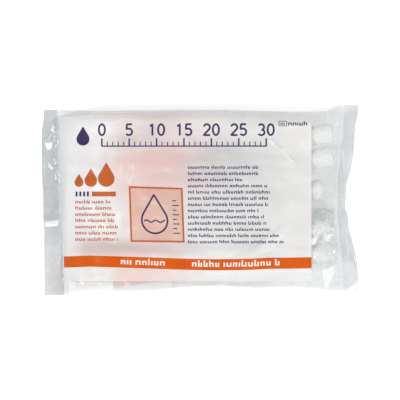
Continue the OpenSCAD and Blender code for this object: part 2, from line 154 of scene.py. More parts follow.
def seats() -> list[Seat]:
    """Seats of the ten syringes, read from the slides of their plungers.

    Returns:
        One seat for each syringe, in order.
    """
    slide = "plunger_draw_"
    return [Seat(joint["name"][len(slide):], Vector(joint["pos_m"]), Vector(joint["axis"]))
            for joint in frame["joints"] if joint["name"].startswith(slide)]


# Modelling


def deselect_all() -> None:
    """Leaves object mode with nothing selected."""
    if bpy.context.object is not None and bpy.context.object.mode != "OBJECT":
        bpy.ops.object.mode_set(mode="OBJECT")
    bpy.ops.object.select_all(action="DESELECT")


def select_only(piece: bpy.types.Object) -> None:
    """Makes one object the active and only selected one.

    Args:
        piece: The object.
    """
    deselect_all()
    piece.select_set(True)
    bpy.context.view_layer.objects.active = piece


def points_of(mesh: bpy.types.Mesh) -> np.ndarray:
    """All vertex places of a mesh.

    Args:
        mesh: The mesh.

    Returns:
        One row for each vertex.
    """
    co = np.empty(len(mesh.vertices) * 3)
    mesh.vertices.foreach_get("co", co)
    return co.reshape(-1, 3)


def place_points(mesh: bpy.types.Mesh, points: np.ndarray) -> None:
    """Writes vertex places back to a mesh."""
    mesh.vertices.foreach_set("co", points.astype(np.float32).ravel())
    mesh.update()


def write_values(mesh: bpy.types.Mesh, name: str, values: np.ndarray) -> None:
    """Stores one number for each vertex, for materials to read by name."""
    layer = mesh.attributes.get(name) or mesh.attributes.new(name, "FLOAT", "POINT")
    layer.data.foreach_set("value", values.astype(np.float32))


def grid_piece(name: str, cells_u: int, cells_v: int) -> bpy.types.Object:
    """Adds a flat unit grid at the origin.

    Args:
        name: Name of the piece.
        cells_u: Number of cells along X.
        cells_v: Number of cells along Y.

    Returns:
        The new object.
    """
    deselect_all()
    bpy.ops.mesh.primitive_grid_add(x_subdivisions=cells_u, y_subdivisions=cells_v, size=1)
    piece = bpy.context.active_object
    piece.name = name
    piece.data.name = name
    return piece


def smooth_shaded(piece: bpy.types.Object, angle: float) -> None:
    """Shades a piece smooth, apart from edges sharper than the angle in degrees."""
    select_only(piece)
    bpy.ops.object.shade_smooth_by_angle(angle=math.radians(angle))


def dress(piece: bpy.types.Object, material: bpy.types.Material) -> None:
    """Gives a piece one material."""
    piece.data.materials.clear()
    piece.data.materials.append(material)


def report(piece: bpy.types.Object) -> None:
    """Logs a finished piece."""
    log.info("%s: %d faces", piece.name, len(piece.data.polygons))


# Materials


class Sheet:
    """Builds one shader tree, a node at a time, in columns."""

    column_width: ClassVar[int] = 180

    def __init__(self, tree: bpy.types.NodeTree) -> None:
        """Starts on an emptied tree.

        Args:
            tree: The tree, which loses the nodes that it has.
        """
        self.tree = tree
        self.column = 0
        tree.nodes.clear()

    def node(self, kind: str, **settings: object) -> bpy.types.Node:
        """Adds a node.

        Args:
            kind: Blender's name of the node type.
            settings: Properties of the node, or with a leading "in_" the values of its inputs.

        Returns:
            The node.
        """
        made = self.tree.nodes.new(kind)
        made.location = (self.column * self.column_width, 0)
        self.column += 1
        for name, value in settings.items():
            if name.startswith("in_"):
                made.inputs[name[3:].replace("_", " ").title()].default_value = value
            else:
                setattr(made, name, value)
        return made

    def link(self, start: bpy.types.NodeSocket, end: bpy.types.NodeSocket) -> None:
        """Joins an output to an input."""
        self.tree.links.new(start, end)

    def attribute(self, name: str) -> bpy.types.NodeSocket:
        """Number that the mesh stores under a name."""
        return self.node("ShaderNodeAttribute", attribute_name=name).outputs["Fac"]

    def maths(self, operation: str, a: object, b: object) -> bpy.types.NodeSocket:
        """Adds a maths node on two values or sockets.

        Args:
            operation: Blender's name of the operation.
            a: First value or socket.
            b: Second value or socket.

        Returns:
            The result, clamped to 0..1.
        """
        made = self.node("ShaderNodeMath", operation=operation, use_clamp=True)
        for socket, value in zip(made.inputs, (a, b)):
            if isinstance(value, bpy.types.NodeSocket):
                self.link(value, socket)
            else:
                socket.default_value = value
        return made.outputs[0]

    def ranged(self, source: bpy.types.NodeSocket, low: float, high: float) -> bpy.types.NodeSocket:
        """Maps a mask from 0..1 to low..high.

        Args:
            source: The mask.
            low: Value for 0.
            high: Value for 1.

        Returns:
            The mapped value.
        """
        made = self.node("ShaderNodeMapRange")
        made.inputs["To Min"].default_value = low
        made.inputs["To Max"].default_value = high
        self.link(source, made.inputs["Value"])
        return made.outputs["Result"]

    def blended(self, mask: bpy.types.NodeSocket, a: object, b: object) -> bpy.types.NodeSocket:
        """Mixes two colours or colour sockets by a mask.

        Args:
            mask: 0 for the first, 1 for the second.
            a: First colour.
            b: Second colour.

        Returns:
            The mixed colour.
        """
        made = self.node("ShaderNodeMix", data_type="RGBA")
        self.link(mask, made.inputs["Factor"])
        for name, value in (("A", a), ("B", b)):
            socket = next(s for s in made.inputs if s.name == name and s.type == "RGBA")
            if isinstance(value, bpy.types.NodeSocket):
                self.link(value, socket)
            else:
                socket.default_value = (*value, 1)
        return next(s for s in made.outputs if s.type == "RGBA")


def grain_group() -> bpy.types.NodeTree:
    """Fine grain: a mask and a height from noise, stretched along X on demand.

    Returns:
        The node group, with inputs Scale, Stretch and Contrast, and outputs Mask and Height.
    """
    name = "fine_grain"
    if name in bpy.data.node_groups:
        return bpy.data.node_groups[name]
    group = bpy.data.node_groups.new(name, "ShaderNodeTree")
    middle = 0.5
    for label, value in (("Scale", 400.0), ("Stretch", 1.0), ("Contrast", 1.0)):
        socket = group.interface.new_socket(label, in_out="INPUT", socket_type="NodeSocketFloat")
        socket.default_value = value
    for label in ("Mask", "Height"):
        group.interface.new_socket(label, in_out="OUTPUT", socket_type="NodeSocketFloat")
    sheet = Sheet(group)
    inputs = sheet.node("NodeGroupInput")
    coords = sheet.node("ShaderNodeTexCoord")
    stretch = sheet.node("ShaderNodeCombineXYZ")
    stretch.inputs["Y"].default_value = 1
    stretch.inputs["Z"].default_value = 1
    sheet.link(inputs.outputs["Stretch"], stretch.inputs["X"])
    scaled = sheet.node("ShaderNodeVectorMath", operation="MULTIPLY")
    sheet.link(coords.outputs["Object"], scaled.inputs[0])
    sheet.link(stretch.outputs[0], scaled.inputs[1])
    noise = sheet.node("ShaderNodeTexNoise", in_detail=3.0, in_roughness=0.55)
    sheet.link(inputs.outputs["Scale"], noise.inputs["Scale"])
    sheet.link(scaled.outputs[0], noise.inputs["Vector"])
    centred = sheet.node("ShaderNodeMath", operation="SUBTRACT")
    centred.inputs[1].default_value = middle
    sheet.link(noise.outputs["Fac"], centred.inputs[0])
    strong = sheet.node("ShaderNodeMath", operation="MULTIPLY")
    sheet.link(centred.outputs[0], strong.inputs[0])
    sheet.link(inputs.outputs["Contrast"], strong.inputs[1])
    mask = sheet.node("ShaderNodeMath", operation="ADD", use_clamp=True)
    mask.inputs[1].default_value = middle
    sheet.link(strong.outputs[0], mask.inputs[0])
    outputs = sheet.node("NodeGroupOutput")
    sheet.link(mask.outputs[0], outputs.inputs["Mask"])
    sheet.link(noise.outputs["Fac"], outputs.inputs["Height"])
    return group


@dataclass(frozen=True)
class Finish:
    """A solid finish: two close shades mixed by grain, with matching roughness and relief."""

    name: str
    colour: tuple[float, float, float]
    shade: tuple[float, float, float]
    roughness: tuple[float, float]
    grain_scale: float = 900.0
    stretch: float = 1.0
    contrast: float = 1.6
    relief: float = 0.02
    metallic: float = 0.0
    alpha: float = 1.0
    specular: float = 0.5
    subsurface: float = 0.0
    relief_strength: ClassVar[float] = 0.6

    def material(self) -> bpy.types.Material:
        """Builds the material.

        Returns:
            The material.
        """
        made = bpy.data.materials.new(self.name)
        made.use_nodes = True
        sheet = Sheet(made.node_tree)
        shader = sheet.node("ShaderNodeBsdfPrincipled")
        grain = self.grain(sheet)
        self.surface(sheet, shader, grain)
        output = sheet.node("ShaderNodeOutputMaterial")
        sheet.link(shader.outputs["BSDF"], output.inputs["Surface"])
        return made

    def grain(self, sheet: Sheet) -> bpy.types.Node:
        """Places the shared grain with this finish's values.

        Args:
            sheet: The material's tree.

        Returns:
            The placed grain group.
        """
        grain = sheet.node("ShaderNodeGroup", node_tree=grain_group())
        grain.inputs["Scale"].default_value = self.grain_scale
        grain.inputs["Stretch"].default_value = self.stretch
        grain.inputs["Contrast"].default_value = self.contrast
        return grain

    def surface(self, sheet: Sheet, shader: bpy.types.Node, grain: bpy.types.Node) -> None:
        """Joins colour, roughness and relief to the shader.

        Args:
            sheet: The material's tree.
            shader: Its Principled node.
            grain: The placed grain group.
        """
        colour = sheet.blended(grain.outputs["Mask"], self.colour, self.shade)
        sheet.link(colour, shader.inputs["Base Color"])
        rough = sheet.ranged(grain.outputs["Mask"], *self.roughness)
        sheet.link(rough, shader.inputs["Roughness"])
        bump = sheet.node("ShaderNodeBump")
        bump.inputs["Strength"].default_value = self.relief_strength
        bump.inputs["Distance"].default_value = self.relief * MM
        sheet.link(grain.outputs["Height"], bump.inputs["Height"])
        sheet.link(bump.outputs["Normal"], shader.inputs["Normal"])
        shader.inputs["Metallic"].default_value = self.metallic
        shader.inputs["Alpha"].default_value = self.alpha
        shader.inputs["Specular IOR Level"].default_value = self.specular
        if self.subsurface:
            shader.inputs["Subsurface Weight"].default_value = self.subsurface
            shader.inputs["Subsurface Scale"].default_value = MM


@dataclass(frozen=True)
class FilmFinish(Finish):
    """Clear film, white at creases and painted highlights, dark at painted shade, denser where steep."""

    crease_colour: tuple[float, float, float] = (0.97, 0.97, 0.98)
    crease_gain: float = 0.75
    steep_gain: float = 0.3

    def surface(self, sheet: Sheet, shader: bpy.types.Node, grain: bpy.types.Node) -> None:
        """Adds creases with their painted highlights, or painted shade, and steep sides to the plain surface.

        Args:
            sheet: The material's tree.
            shader: Its Principled node.
            grain: The placed grain group.
        """
        Finish.surface(self, sheet, shader, grain)
        # The mask holds whitening at folds and painted highlights, and on the back film painted shade.
        crease, steep = sheet.attribute("crease"), sheet.attribute("steep")
        plain = sheet.blended(grain.outputs["Mask"], self.colour, self.shade)
        sheet.link(sheet.blended(crease, plain, self.crease_colour), shader.inputs["Base Color"])
        whitened = sheet.maths("MULTIPLY", crease, self.crease_gain)
        dense = sheet.maths("MULTIPLY", steep, self.steep_gain)
        gained = sheet.maths("ADD", whitened, dense)
        sheet.link(sheet.maths("ADD", gained, self.alpha), shader.inputs["Alpha"])


@dataclass(frozen=True)
class InkFinish(Finish):
    """Nearly opaque white ink with a painted glow of the needle shields, painted shade and painted highlights."""

    glow_colour: tuple[float, float, float] = (0.86, 0.46, 0.405)
    glow_gain: float = 0.85
    dark_colour: tuple[float, float, float] = (0.45, 0.46, 0.47)
    crease_colour: tuple[float, float, float] = (0.98, 0.97, 0.97)
    crease_gain: float = 0.75

    def surface(self, sheet: Sheet, shader: bpy.types.Node, grain: bpy.types.Node) -> None:
        """Adds the painted glow, the painted shade and the creases with painted highlights to the plain surface.

        Args:
            sheet: The material's tree.
            shader: Its Principled node.
            grain: The placed grain group.
        """
        Finish.surface(self, sheet, shader, grain)
        plain = sheet.blended(grain.outputs["Mask"], self.colour, self.shade)
        # Painted light in the base colour: the shields' glow, then shade, then highlights.
        glow = sheet.maths("MULTIPLY", sheet.attribute("glow"), self.glow_gain)
        tinted = sheet.blended(glow, plain, self.glow_colour)
        dimmed = sheet.blended(sheet.attribute("shade"), tinted, self.dark_colour)
        crease = sheet.maths("MULTIPLY", sheet.attribute("crease"), self.crease_gain)
        bright = sheet.blended(crease, dimmed, self.crease_colour)
        sheet.link(bright, shader.inputs["Base Color"])


FINISHES = {
    Slot.FILM: FilmFinish("clear_film", (0.72, 0.77, 0.80), (0.86, 0.89, 0.91), (0.14, 0.26),
                          grain_scale=160, contrast=2.4, relief=0.05, alpha=0.18, specular=0.8,
                          steep_gain=0.16),
    Slot.WELD: FilmFinish("welded_film", (0.47, 0.505, 0.52), (0.60, 0.63, 0.65), (0.14, 0.28),
                          grain_scale=300, contrast=2.4, relief=0.06, alpha=0.8, specular=0.8),
    Slot.WHITE_INK: InkFinish("white_ink", (0.84, 0.83, 0.815), (0.92, 0.91, 0.9), (0.3, 0.45),
                              grain_scale=70, stretch=0.6, contrast=2.2, relief=0.02, alpha=0.93),
    Slot.ORANGE_INK: Finish("orange_ink", (0.66, 0.098, 0.004), (0.74, 0.13, 0.01), (0.3, 0.45),
                            grain_scale=120, contrast=2.0, relief=0.02, alpha=0.99, specular=0.1),
    Slot.CLEAR: Finish("clear_moulding", (0.80, 0.84, 0.86), (0.86, 0.89, 0.9), (0.08, 0.16),
                       grain_scale=500, stretch=0.1, alpha=0.18, specular=0.7),
    Slot.ORANGE: Finish("orange_moulding", (0.86, 0.2, 0.03), (0.92, 0.25, 0.045), (0.25, 0.4),
                        grain_scale=700, stretch=0.2, subsurface=0.15),
    Slot.WHITE: Finish("white_moulding", (0.84, 0.84, 0.83), (0.88, 0.88, 0.87), (0.28, 0.42),
                       grain_scale=700, stretch=0.2, subsurface=0.1),
    Slot.CAP: Finish("cap_moulding", (0.90, 0.90, 0.87), (0.95, 0.95, 0.92), (0.35, 0.5),
                     grain_scale=800, stretch=0.2, subsurface=0.1),
    Slot.RUBBER: Finish("rubber", (0.02, 0.02, 0.022), (0.035, 0.035, 0.04), (0.5, 0.7),
                        grain_scale=1500),
    Slot.STEEL: Finish("steel_tube", (0.62, 0.62, 0.64), (0.72, 0.72, 0.74), (0.15, 0.3),
                       grain_scale=3000, stretch=0.05, metallic=1.0),
    Slot.ADHESIVE: Finish("cured_resin", (0.62, 0.74, 0.9), (0.7, 0.8, 0.93), (0.08, 0.15),
                          grain_scale=2000, alpha=0.7),
}
# Back film: its dark mask colour is painted shade in the gap between the caps.
BACK_FILM = FilmFinish("back_film", (0.66, 0.71, 0.74), (0.80, 0.84, 0.86), (0.12, 0.3),
                       grain_scale=200, contrast=2.4, relief=0.06, alpha=0.28, specular=0.6,
                       crease_colour=(0.62, 0.65, 0.66), crease_gain=0.04)
SOFT_WELD = FilmFinish("right_welded_film", (0.68, 0.72, 0.74), (0.80, 0.84, 0.86), (0.14, 0.28),
                       grain_scale=200, contrast=2.2, relief=0.06, alpha=0.4, specular=0.8)
PURPLE_INK = Finish("purple_ink", (0.026, 0.014, 0.085), (0.042, 0.026, 0.125), (0.4, 0.55),
                    grain_scale=500, specular=0.3)
RED_INK = Finish("red_ink", (0.5, 0.1, 0.022), (0.58, 0.14, 0.035), (0.4, 0.55),
                 grain_scale=500, specular=0.2)
PALE_INK = Finish("pale_ink", (0.86, 0.82, 0.78), (0.92, 0.88, 0.84), (0.3, 0.45), grain_scale=500)
TINT_INK = Finish("tint_ink", (0.88, 0.47, 0.36), (0.92, 0.6, 0.49), (0.3, 0.45), grain_scale=120,
                  contrast=2.4, alpha=0.57)
GREY_INK = Finish("grey_ink", (0.55, 0.56, 0.58), (0.62, 0.63, 0.65), (0.3, 0.45), grain_scale=500)
SCALE_INK = Finish("scale_ink", (0.02, 0.02, 0.022), (0.03, 0.03, 0.035), (0.3, 0.45), grain_scale=900)


@cache
def printed(finish: Finish) -> bpy.types.Material:
    """The material of a finish, built once."""
    return finish.material()


# Shape of the film


@dataclass
class PackOutline:
    """Outline of the pack in plan, worked out from the frame's box.

    The insets are in millimetres at shares of half the width, and the other tables give the long
    edges as shares of half the width at shares of half the length.
    """

    half_l: float
    half_w: float
    right_crimp: float = 7 * MM
    right_crimp_least: float = 3.2 * MM
    notch: float = 7.2 * MM
    tooth: float = 0.5 * MM
    left_insets: tuple = ((-1, 1.7), (-0.79, 1.5), (-0.6, 1.3), (-0.28, 1.25), (-0.2, 0.8),
                          (0.1, 0.7), (0.16, 0.3), (0.35, 0.1), (0.41, 0), (0.72, 0), (0.79, 0.5),
                          (0.85, 1.1), (1, 1.2))
    right_insets: tuple = ((-1, 0), (-0.85, 0), (-0.79, 0.4), (-0.66, 0.7), (-0.6, 1.1),
                           (-0.54, 1.8), (-0.47, 2.6), (-0.41, 3.2), (-0.35, 4.2), (-0.28, 5),
                           (-0.21, 5.1), (-0.14, 5.5), (-0.1, 6.6), (-0.03, 6.6), (0.03, 6),
                           (0.16, 6.2), (0.22, 5.3), (0.28, 4.2), (0.35, 3.6), (0.41, 3.1),
                           (0.47, 2.4), (0.54, 2.2), (0.6, 2), (0.72, 1.7), (0.79, 1.5),
                           (0.85, 0.8), (0.91, 0.1), (1, 0))
    top_shares: tuple = ((-1, 0.948), (-0.94, 0.948), (-0.63, 0.938), (-0.1, 0.948), (0.13, 0.948),
                         (0.35, 0.938), (0.58, 0.93), (0.74, 0.93), (0.8, 0.94), (0.88, 1), (1, 1))
    bottom_shares: tuple = ((-1, 1), (-0.86, 0.99), (-0.63, 0.962), (-0.3, 0.95), (-0.1, 0.915),
                            (0.13, 0.905), (0.35, 0.925), (0.58, 0.918), (0.74, 0.928),
                            (0.8, 0.948), (1, 0.96))

    def left(self, y: np.ndarray) -> np.ndarray:
        """Where the film leaves the left crimp at y."""
        return FOLD_MIDDLE * MM - FOLD_SKEW * y

    def left_cut(self, y: np.ndarray) -> np.ndarray:
        """Left cut edge at y."""
        ys, insets = zip(*self.left_insets)
        return -self.half_l + MM * np.interp(y / self.half_w, ys, insets)

    def top(self, x: np.ndarray) -> np.ndarray:
        """Upper long edge at x."""
        xs, ys = zip(*self.top_shares)
        return self.half_w * np.interp(x / self.half_l, xs, ys)

    def bottom(self, x: np.ndarray) -> np.ndarray:
        """Lower long edge at x."""
        xs, ys = zip(*self.bottom_shares)
        return -self.half_w * np.interp(x / self.half_l, xs, ys)

    def drawn_in(self, y: np.ndarray) -> np.ndarray:
        """How far the right end is drawn in at y, from 0 to 1."""
        return np.cos(np.minimum(np.abs(y) / self.half_w, 1) * math.pi / 2) ** 2

    def right(self, y: np.ndarray) -> np.ndarray:
        """Right cut edge at y."""
        ys, insets = zip(*self.right_insets)
        return self.half_l - MM * np.interp(y / self.half_w, ys, insets)

    def fold(self, y: np.ndarray) -> np.ndarray:
        """Where the film meets the right crimp at y."""
        pulled = self.notch - self.right_crimp + self.right_crimp_least
        return self.half_l - self.right_crimp - pulled * self.drawn_in(y)

    def teeth(self, v: np.ndarray, rows: int) -> np.ndarray:
        """Depth of the zigzag cut for rows numbered by v from 0 to 1."""
        return self.tooth * (np.round(v * rows) % 2)


@dataclass(frozen=True)
class Crease:
    """A straight ridge in the film, from one end to the other, with a pale streak: fold whitening and painted
    highlight.

    Places, height and width are in millimetres. Whiteness is a share, and the lean makes one side
    wider than the other.
    """

    x0: float
    y0: float
    x1: float
    y1: float
    height: float
    width: float
    white: float = 0.0
    lean: float = 0.0
    end_rise: ClassVar[float] = 4
    sharpness: ClassVar[float] = 1.5
    streak_least: ClassVar[float] = 0.35
    streak_share: ClassVar[float] = 0.3

    def field(self, x: np.ndarray, y: np.ndarray) -> tuple[np.ndarray, np.ndarray]:
        """Height, and whiteness of fold and painted highlight, that the ridge adds at points.

        Args:
            x: X of the points, in metres.
            y: Y of the points, in metres.

        Returns:
            Height in metres, and whiteness from 0 to 1.
        """
        start = np.array([self.x0, self.y0]) * MM
        span = np.array([self.x1, self.y1]) * MM - start
        length = float(np.hypot(*span))
        way = span / length
        t = ((x - start[0]) * way[0] + (y - start[1]) * way[1]) / length
        side = ((y - start[1]) * way[0] - (x - start[0]) * way[1]) / MM
        inside = np.clip(t, 0, 1)
        swell = smooth_step(inside * self.end_rise) * smooth_step((1 - inside) * self.end_rise)
        swell = np.where((t < 0) | (t > 1), 0, swell)
        wide = self.width * np.where(side > 0, 1 + self.lean, 1 - self.lean)
        ridge = np.maximum(1 - np.abs(side) / wide, 0) ** self.sharpness
        streak = np.exp(-((side / max(self.streak_least, self.streak_share * self.width)) ** 2))
        return self.height * MM * ridge * swell, self.white * streak * swell


@dataclass(frozen=True)
class Facet:
    """A flat patch of film with a painted highlight where it catches the light, drawn as a convex outline in
    millimetres.
    """

    outline: tuple
    white: float = 1.0
    lift: float = 0.4
    blur: float = 0.5
    slope_reach: ClassVar[float] = 3

    def field(self, x: np.ndarray, y: np.ndarray) -> tuple[np.ndarray, np.ndarray]:
        """Height and whiteness that the patch adds at points.

        Args:
            x: X of the points, in metres.
            y: Y of the points, in metres.

        Returns:
            Height in metres, and whiteness from 0 to 1.
        """
        sides = self.sides(self.outline)
        if sum(x0 * y1 - x1 * y0 for (x0, y0), (x1, y1) in sides) < 0:
            sides = self.sides(self.outline[::-1])
        depth = np.full(np.shape(x), FAR)
        for (x0, y0), (x1, y1) in sides:
            across = (x1 - x0) * (y / MM - y0) - (y1 - y0) * (x / MM - x0)
            depth = np.minimum(depth, across / math.hypot(x1 - x0, y1 - y0))
        return (self.lift * MM * np.clip(depth / self.slope_reach, 0, 1),
                self.white * smooth_step(depth / self.blur + 0.5))

    @staticmethod
    def sides(corners: tuple) -> list[tuple]:
        """Both ends of each side."""
        return list(zip(corners, corners[1:] + corners[:1]))


@dataclass(frozen=True)
class Cloud:
    """A soft oval patch, in millimetres."""

    x: float
    y: float
    wide: float
    tall: float
    strength: float = 1.0

    def field(self, x: np.ndarray, y: np.ndarray) -> np.ndarray:
        """Strength of the patch at points in metres."""
        return self.strength * np.exp(-(((x / MM - self.x) / self.wide) ** 2)
                                      - ((y / MM - self.y) / self.tall) ** 2)


def rise_at(pairs: tuple, x: np.ndarray) -> np.ndarray:
    """How far the rumpled film lifts print at x, from pairs of X and rise, all in millimetres."""
    xs, rises = zip(*pairs)
    return np.interp(x, xs, rises)


@dataclass(frozen=True)
class FoldFlecks:
    """Short creases with painted highlights along the left fold, where the flat crimp turns up into the bag.

    A band gives its lowest and highest Y and its number of flecks. Every other pair is the range
    that a size is picked from, in millimetres, or as a share for the lean and whiteness.
    """

    bands: tuple = ((8, 45, 17), (-36, -19, 8), (-44, -38, 3))
    spread: tuple = (-1.6, 1.4)
    upper_pull: float = 0.05
    length: tuple = (1.2, 4.0)
    lean: tuple = (-0.6, 0.6)
    height: tuple = (0.2, 0.5)
    width: tuple = (0.6, 1.0)
    white: tuple = (0.5, 1.0)
    seed: int = 5

    def creases(self) -> tuple:
        """Picks the flecks.

        Returns:
            One crease for each fleck.
        """
        picked = random.Random(self.seed)
        flecks = []
        for low, high, count in self.bands:
            for _ in range(count):
                y = picked.uniform(low, high)
                x = (FOLD_MIDDLE - FOLD_SKEW * y + picked.uniform(*self.spread)
                     - self.upper_pull * max(y, 0))
                long, lean = picked.uniform(*self.length), picked.uniform(*self.lean)
                flecks.append(Crease(x, y, x + lean * long, y - long, picked.uniform(*self.height),
                                     picked.uniform(*self.width), picked.uniform(*self.white)))
        return tuple(flecks)


@dataclass(frozen=True)
class Crumple:
    """Facets of crumpled film near the right end, each with a painted highlight, sharpest in the lower corner; in
    millimetres.
    """

    facets: int = 150
    spread_x: tuple = (50, 80)
    spread_y: tuple = (-48, 48)
    right: Ramp = Ramp(55.5, 2)
    low: Ramp = Ramp(-4, -8)
    corner_x: Ramp = Ramp(65, 4)
    corner_y: Ramp = Ramp(-30, -8)
    slope: float = 0.03
    low_slope: float = 0.12
    shine: float = 0.05
    low_shine: float = 0.35
    corner_shine: float = 0.25
    corner_sparkle: float = 0.5
    brightness_power: float = 1.5
    seed: int = 7

    def field(self, x: np.ndarray, y: np.ndarray) -> tuple[np.ndarray, np.ndarray]:
        """Height and whiteness that the crumpled film adds at points.

        Args:
            x: X of the points, in metres.
            y: Y of the points, in metres.

        Returns:
            Height in metres, and whiteness from 0 to 1.
        """
        picked = random.Random(self.seed)
        near = np.full(x.shape, FAR)
        shine = np.zeros_like(near)
        for _ in range(self.facets):
            middle = picked.uniform(*self.spread_x), picked.uniform(*self.spread_y)
            bright = picked.uniform(0, 1) ** self.brightness_power
            away = np.hypot(x / MM - middle[0], y / MM - middle[1])
            shine = np.where(away < near, bright, shine)
            near = np.minimum(near, away)
        low, right = self.low.at(y / MM), self.right.at(x / MM)
        corner = self.corner_y.at(y / MM) * self.corner_x.at(x / MM)
        shine = (self.shine + self.low_shine * low) * shine * right
        height = near * (self.slope + self.low_slope * low) * right * MM
        return height, np.maximum(shine, (self.corner_shine + self.corner_sparkle * shine) * corner)


FOLD_MIDDLE = -69.8
FOLD_SKEW = 0.035
# Ridges of the film; their pale streaks are painted highlights, partly fold whitening.
CREASES = (
    Crease(-33, 21, -35, 8, 0.7, 2.2, 0.45),
    Crease(-41, 38, -38, 9, 0.9, 4.0, 0.05),
    Crease(33, 31.8, 42, 24, 0.8, 1.0, 0.65, 0.4),
    Crease(42, 24, 51.5, 14, 0.7, 0.9, 0.5, 0.4),
    Crease(22, -29, 46, -10, 1.0, 4.0, 0.2, -0.3),
    Crease(8, -27, 26, -24, 0.5, 3.0, 0.2),
    Crease(-51.5, -34.5, -47, -38, 0.6, 1.3, 0.7),
    Crease(-47, -38, -48.5, -42, 0.6, 1.2, 0.75),
    Crease(-48.5, -42, -53, -44.5, 0.6, 1.3, 0.6),
    Crease(-45.5, -36, -43.5, -40, 0.5, 1.1, 0.5),
    Crease(-43.5, -40, -46, -44, 0.5, 1.1, 0.6),
    Crease(-66, -39, -58, -43, 0.5, 1.3, 0.35),
    Crease(-20, -41, -4, -43, 0.5, 1.2, 0.35),
    Crease(-7, -43.5, 12, -42.5, 0.4, 0.9, 0.4),
    Crease(20, -43, 34, -44, 0.4, 0.9, 0.3),
    Crease(-57, 24, -60, 18, 0.1, 0.9, 0.3),
    Crease(-55.5, 24, -55, 17, 0.1, 0.9, 0.3),
    Crease(-54, 24, -50, 18, 0.1, 0.9, 0.25),
    Crease(-67, 22, -60, 12, 0.4, 1.5, 0.1),
    Crease(-18, 12, 4, 21, 0.6, 3.5, 0.0),
    Crease(-30, 3, -14, -4, 0.5, 2.5, 0.15),
    Crease(-12, 33, 6, 24, 0.5, 3.0, 0.0),
    Crease(-58, 44, -30, 43.4, 0.4, 0.8, 0.4),
    Crease(-10, 44, 22, 43.3, 0.4, 0.8, 0.3),
    Crease(50, 38, 53, 24, 0.5, 2.5, 0.1),
)
# Painted highlights; the long one on the left paints light on the steep left side, which the lamps leave dark.
FACETS = (
    Facet(((-64, 42), (-37, 41), (-50, 33), (-64, 35)), 0.4, 0.3, 4.0),
    Facet(((-73, 36), (-59, 36), (-61, -38), (-73, -38)), 0.95, 0.0, 9.0),
    Facet(((-43, -6), (-39.5, -7), (-39.5, -14), (-43, -13)), 1.0, 0.2, 2.5),
    Facet(((-33, -9), (-26, -6), (-15, -8), (-14, -13), (-24, -17), (-34, -15)), 0.8, 0.2, 5.0),
    Facet(((-66, 29), (-50, 28), (-49, 19), (-66, 18)), 0.6, 0.0, 5.0),
    Facet(((-66, -40.5), (-43, -40.5), (-43, -47), (-66, -48)), 0.85, 0.0, 1.6),
    Facet(((-44, -40.5), (-14, -40.5), (-14, -46), (-44, -47)), 0.5, 0.0, 1.6),
    Facet(((-35, 41), (-18, 41), (-27, 36)), 0.16, 0.4, 3.0),
    Facet(((45.5, -9.5), (46.5, -12), (36, -25), (21, -29.5), (31, -23)), 0.6, 0.5, 1.4),
    Facet(((-38, -40), (-34, -42), (-37.5, -43.8)), 0.7, 0.4, 0.8),
    Facet(((-33, 22), (-31.5, 14), (-35, 8), (-36.5, 14)), 0.2, 0.3, 2.0),
)
# Ridges near the right end, with painted highlights.
RIGHT_CREASES = (
    Crease(61.4, -15, 62.4, -33.5, 1.0, 0.9, 0.95, 0.4),
    Crease(63.6, -7, 63.2, -12, 0.6, 0.7, 0.7),
    Crease(60, -16.5, 63, -13.5, 0.8, 0.9, 0.8),
    Crease(57, -24, 59, -28, 0.8, 0.9, 0.75),
    Crease(56, -32.4, 61, -31.8, 0.6, 0.7, 0.6),
    Crease(61, -31.8, 63, -35.5, 0.6, 0.7, 0.7),
    Crease(67, -26.5, 66.2, -31.5, 0.6, 0.8, 0.6),
    Crease(67, -31, 69.5, -36.5, 0.8, 0.9, 0.7),
    Crease(69.6, -36, 70.6, -41.5, 0.9, 0.8, 0.9),
    Crease(70.5, -41, 73.4, -45.6, 0.7, 0.7, 0.8),
    Crease(73, -17, 74.4, -37, 0.5, 0.6, 0.5),
    Crease(76, -25, 79, -35, 0.5, 0.9, 0.4),
    Crease(68.5, -28, 74, -32, 0.5, 0.7, 0.45),
    Crease(56, -34, 61, -39, 0.6, 0.8, 0.5),
    Crease(58, -40, 59.5, -44, 0.5, 0.7, 0.6),
    Crease(54, -39, 58, -42, 0.5, 0.7, 0.45),
    Crease(62, 30, 72, 32, 0.6, 1.5, 0.2),
    Crease(63, 22, 71, 20, 0.6, 1.6, 0.15),
    Crease(64, 13, 70, 9, 0.6, 1.4, 0.25),
    Crease(63, 4, 71, 2, 0.6, 1.2, 0.2),
    Crease(58, 5, 66, -3, 0.7, 1.6, 0.25),
    Crease(66, 40, 70, 18, 0.7, 1.8, 0.12),
    Crease(60, -5, 68, -8, 0.6, 1.2, 0.3),
    Crease(69, 44, 72.5, 8, 0.5, 1.0, 0.25),
)
# Painted highlights near the right end.
RIGHT_FACETS = (
    Facet(((60.8, -35), (67.2, -33), (66.4, -38), (63.8, -45), (62.2, -43)), 1.0, 0.5, 0.5),
    Facet(((61.6, -16.5), (65.2, -17.5), (64.8, -20.5), (61.8, -20)), 0.8, 0.4, 0.5),
    Facet(((55.4, -19.5), (59.2, -17.5), (58.6, -19.5), (55.8, -23)), 0.9, 0.4, 0.5),
    Facet(((75.8, -32), (78.5, -36), (79.4, -43), (77.5, -45.5), (75, -42), (77, -38)), 0.8, 0.3, 0.6),
    Facet(((68.5, -29.5), (71.5, -29), (71, -35), (69.5, -34)), 0.6, 0.3, 0.6),
    Facet(((71.4, 29), (72.6, 28.4), (72, 25.5), (71, 26.5)), 0.7, 0.2, 0.4),
    Facet(((68.2, 4.5), (69.6, 4), (69.2, 1), (68.2, 1.8)), 0.6, 0.2, 0.4),
    Facet(((56.5, 2), (59, 2.8), (59.6, 0.4), (58, -0.5)), 0.35, 0.2, 0.6),
)
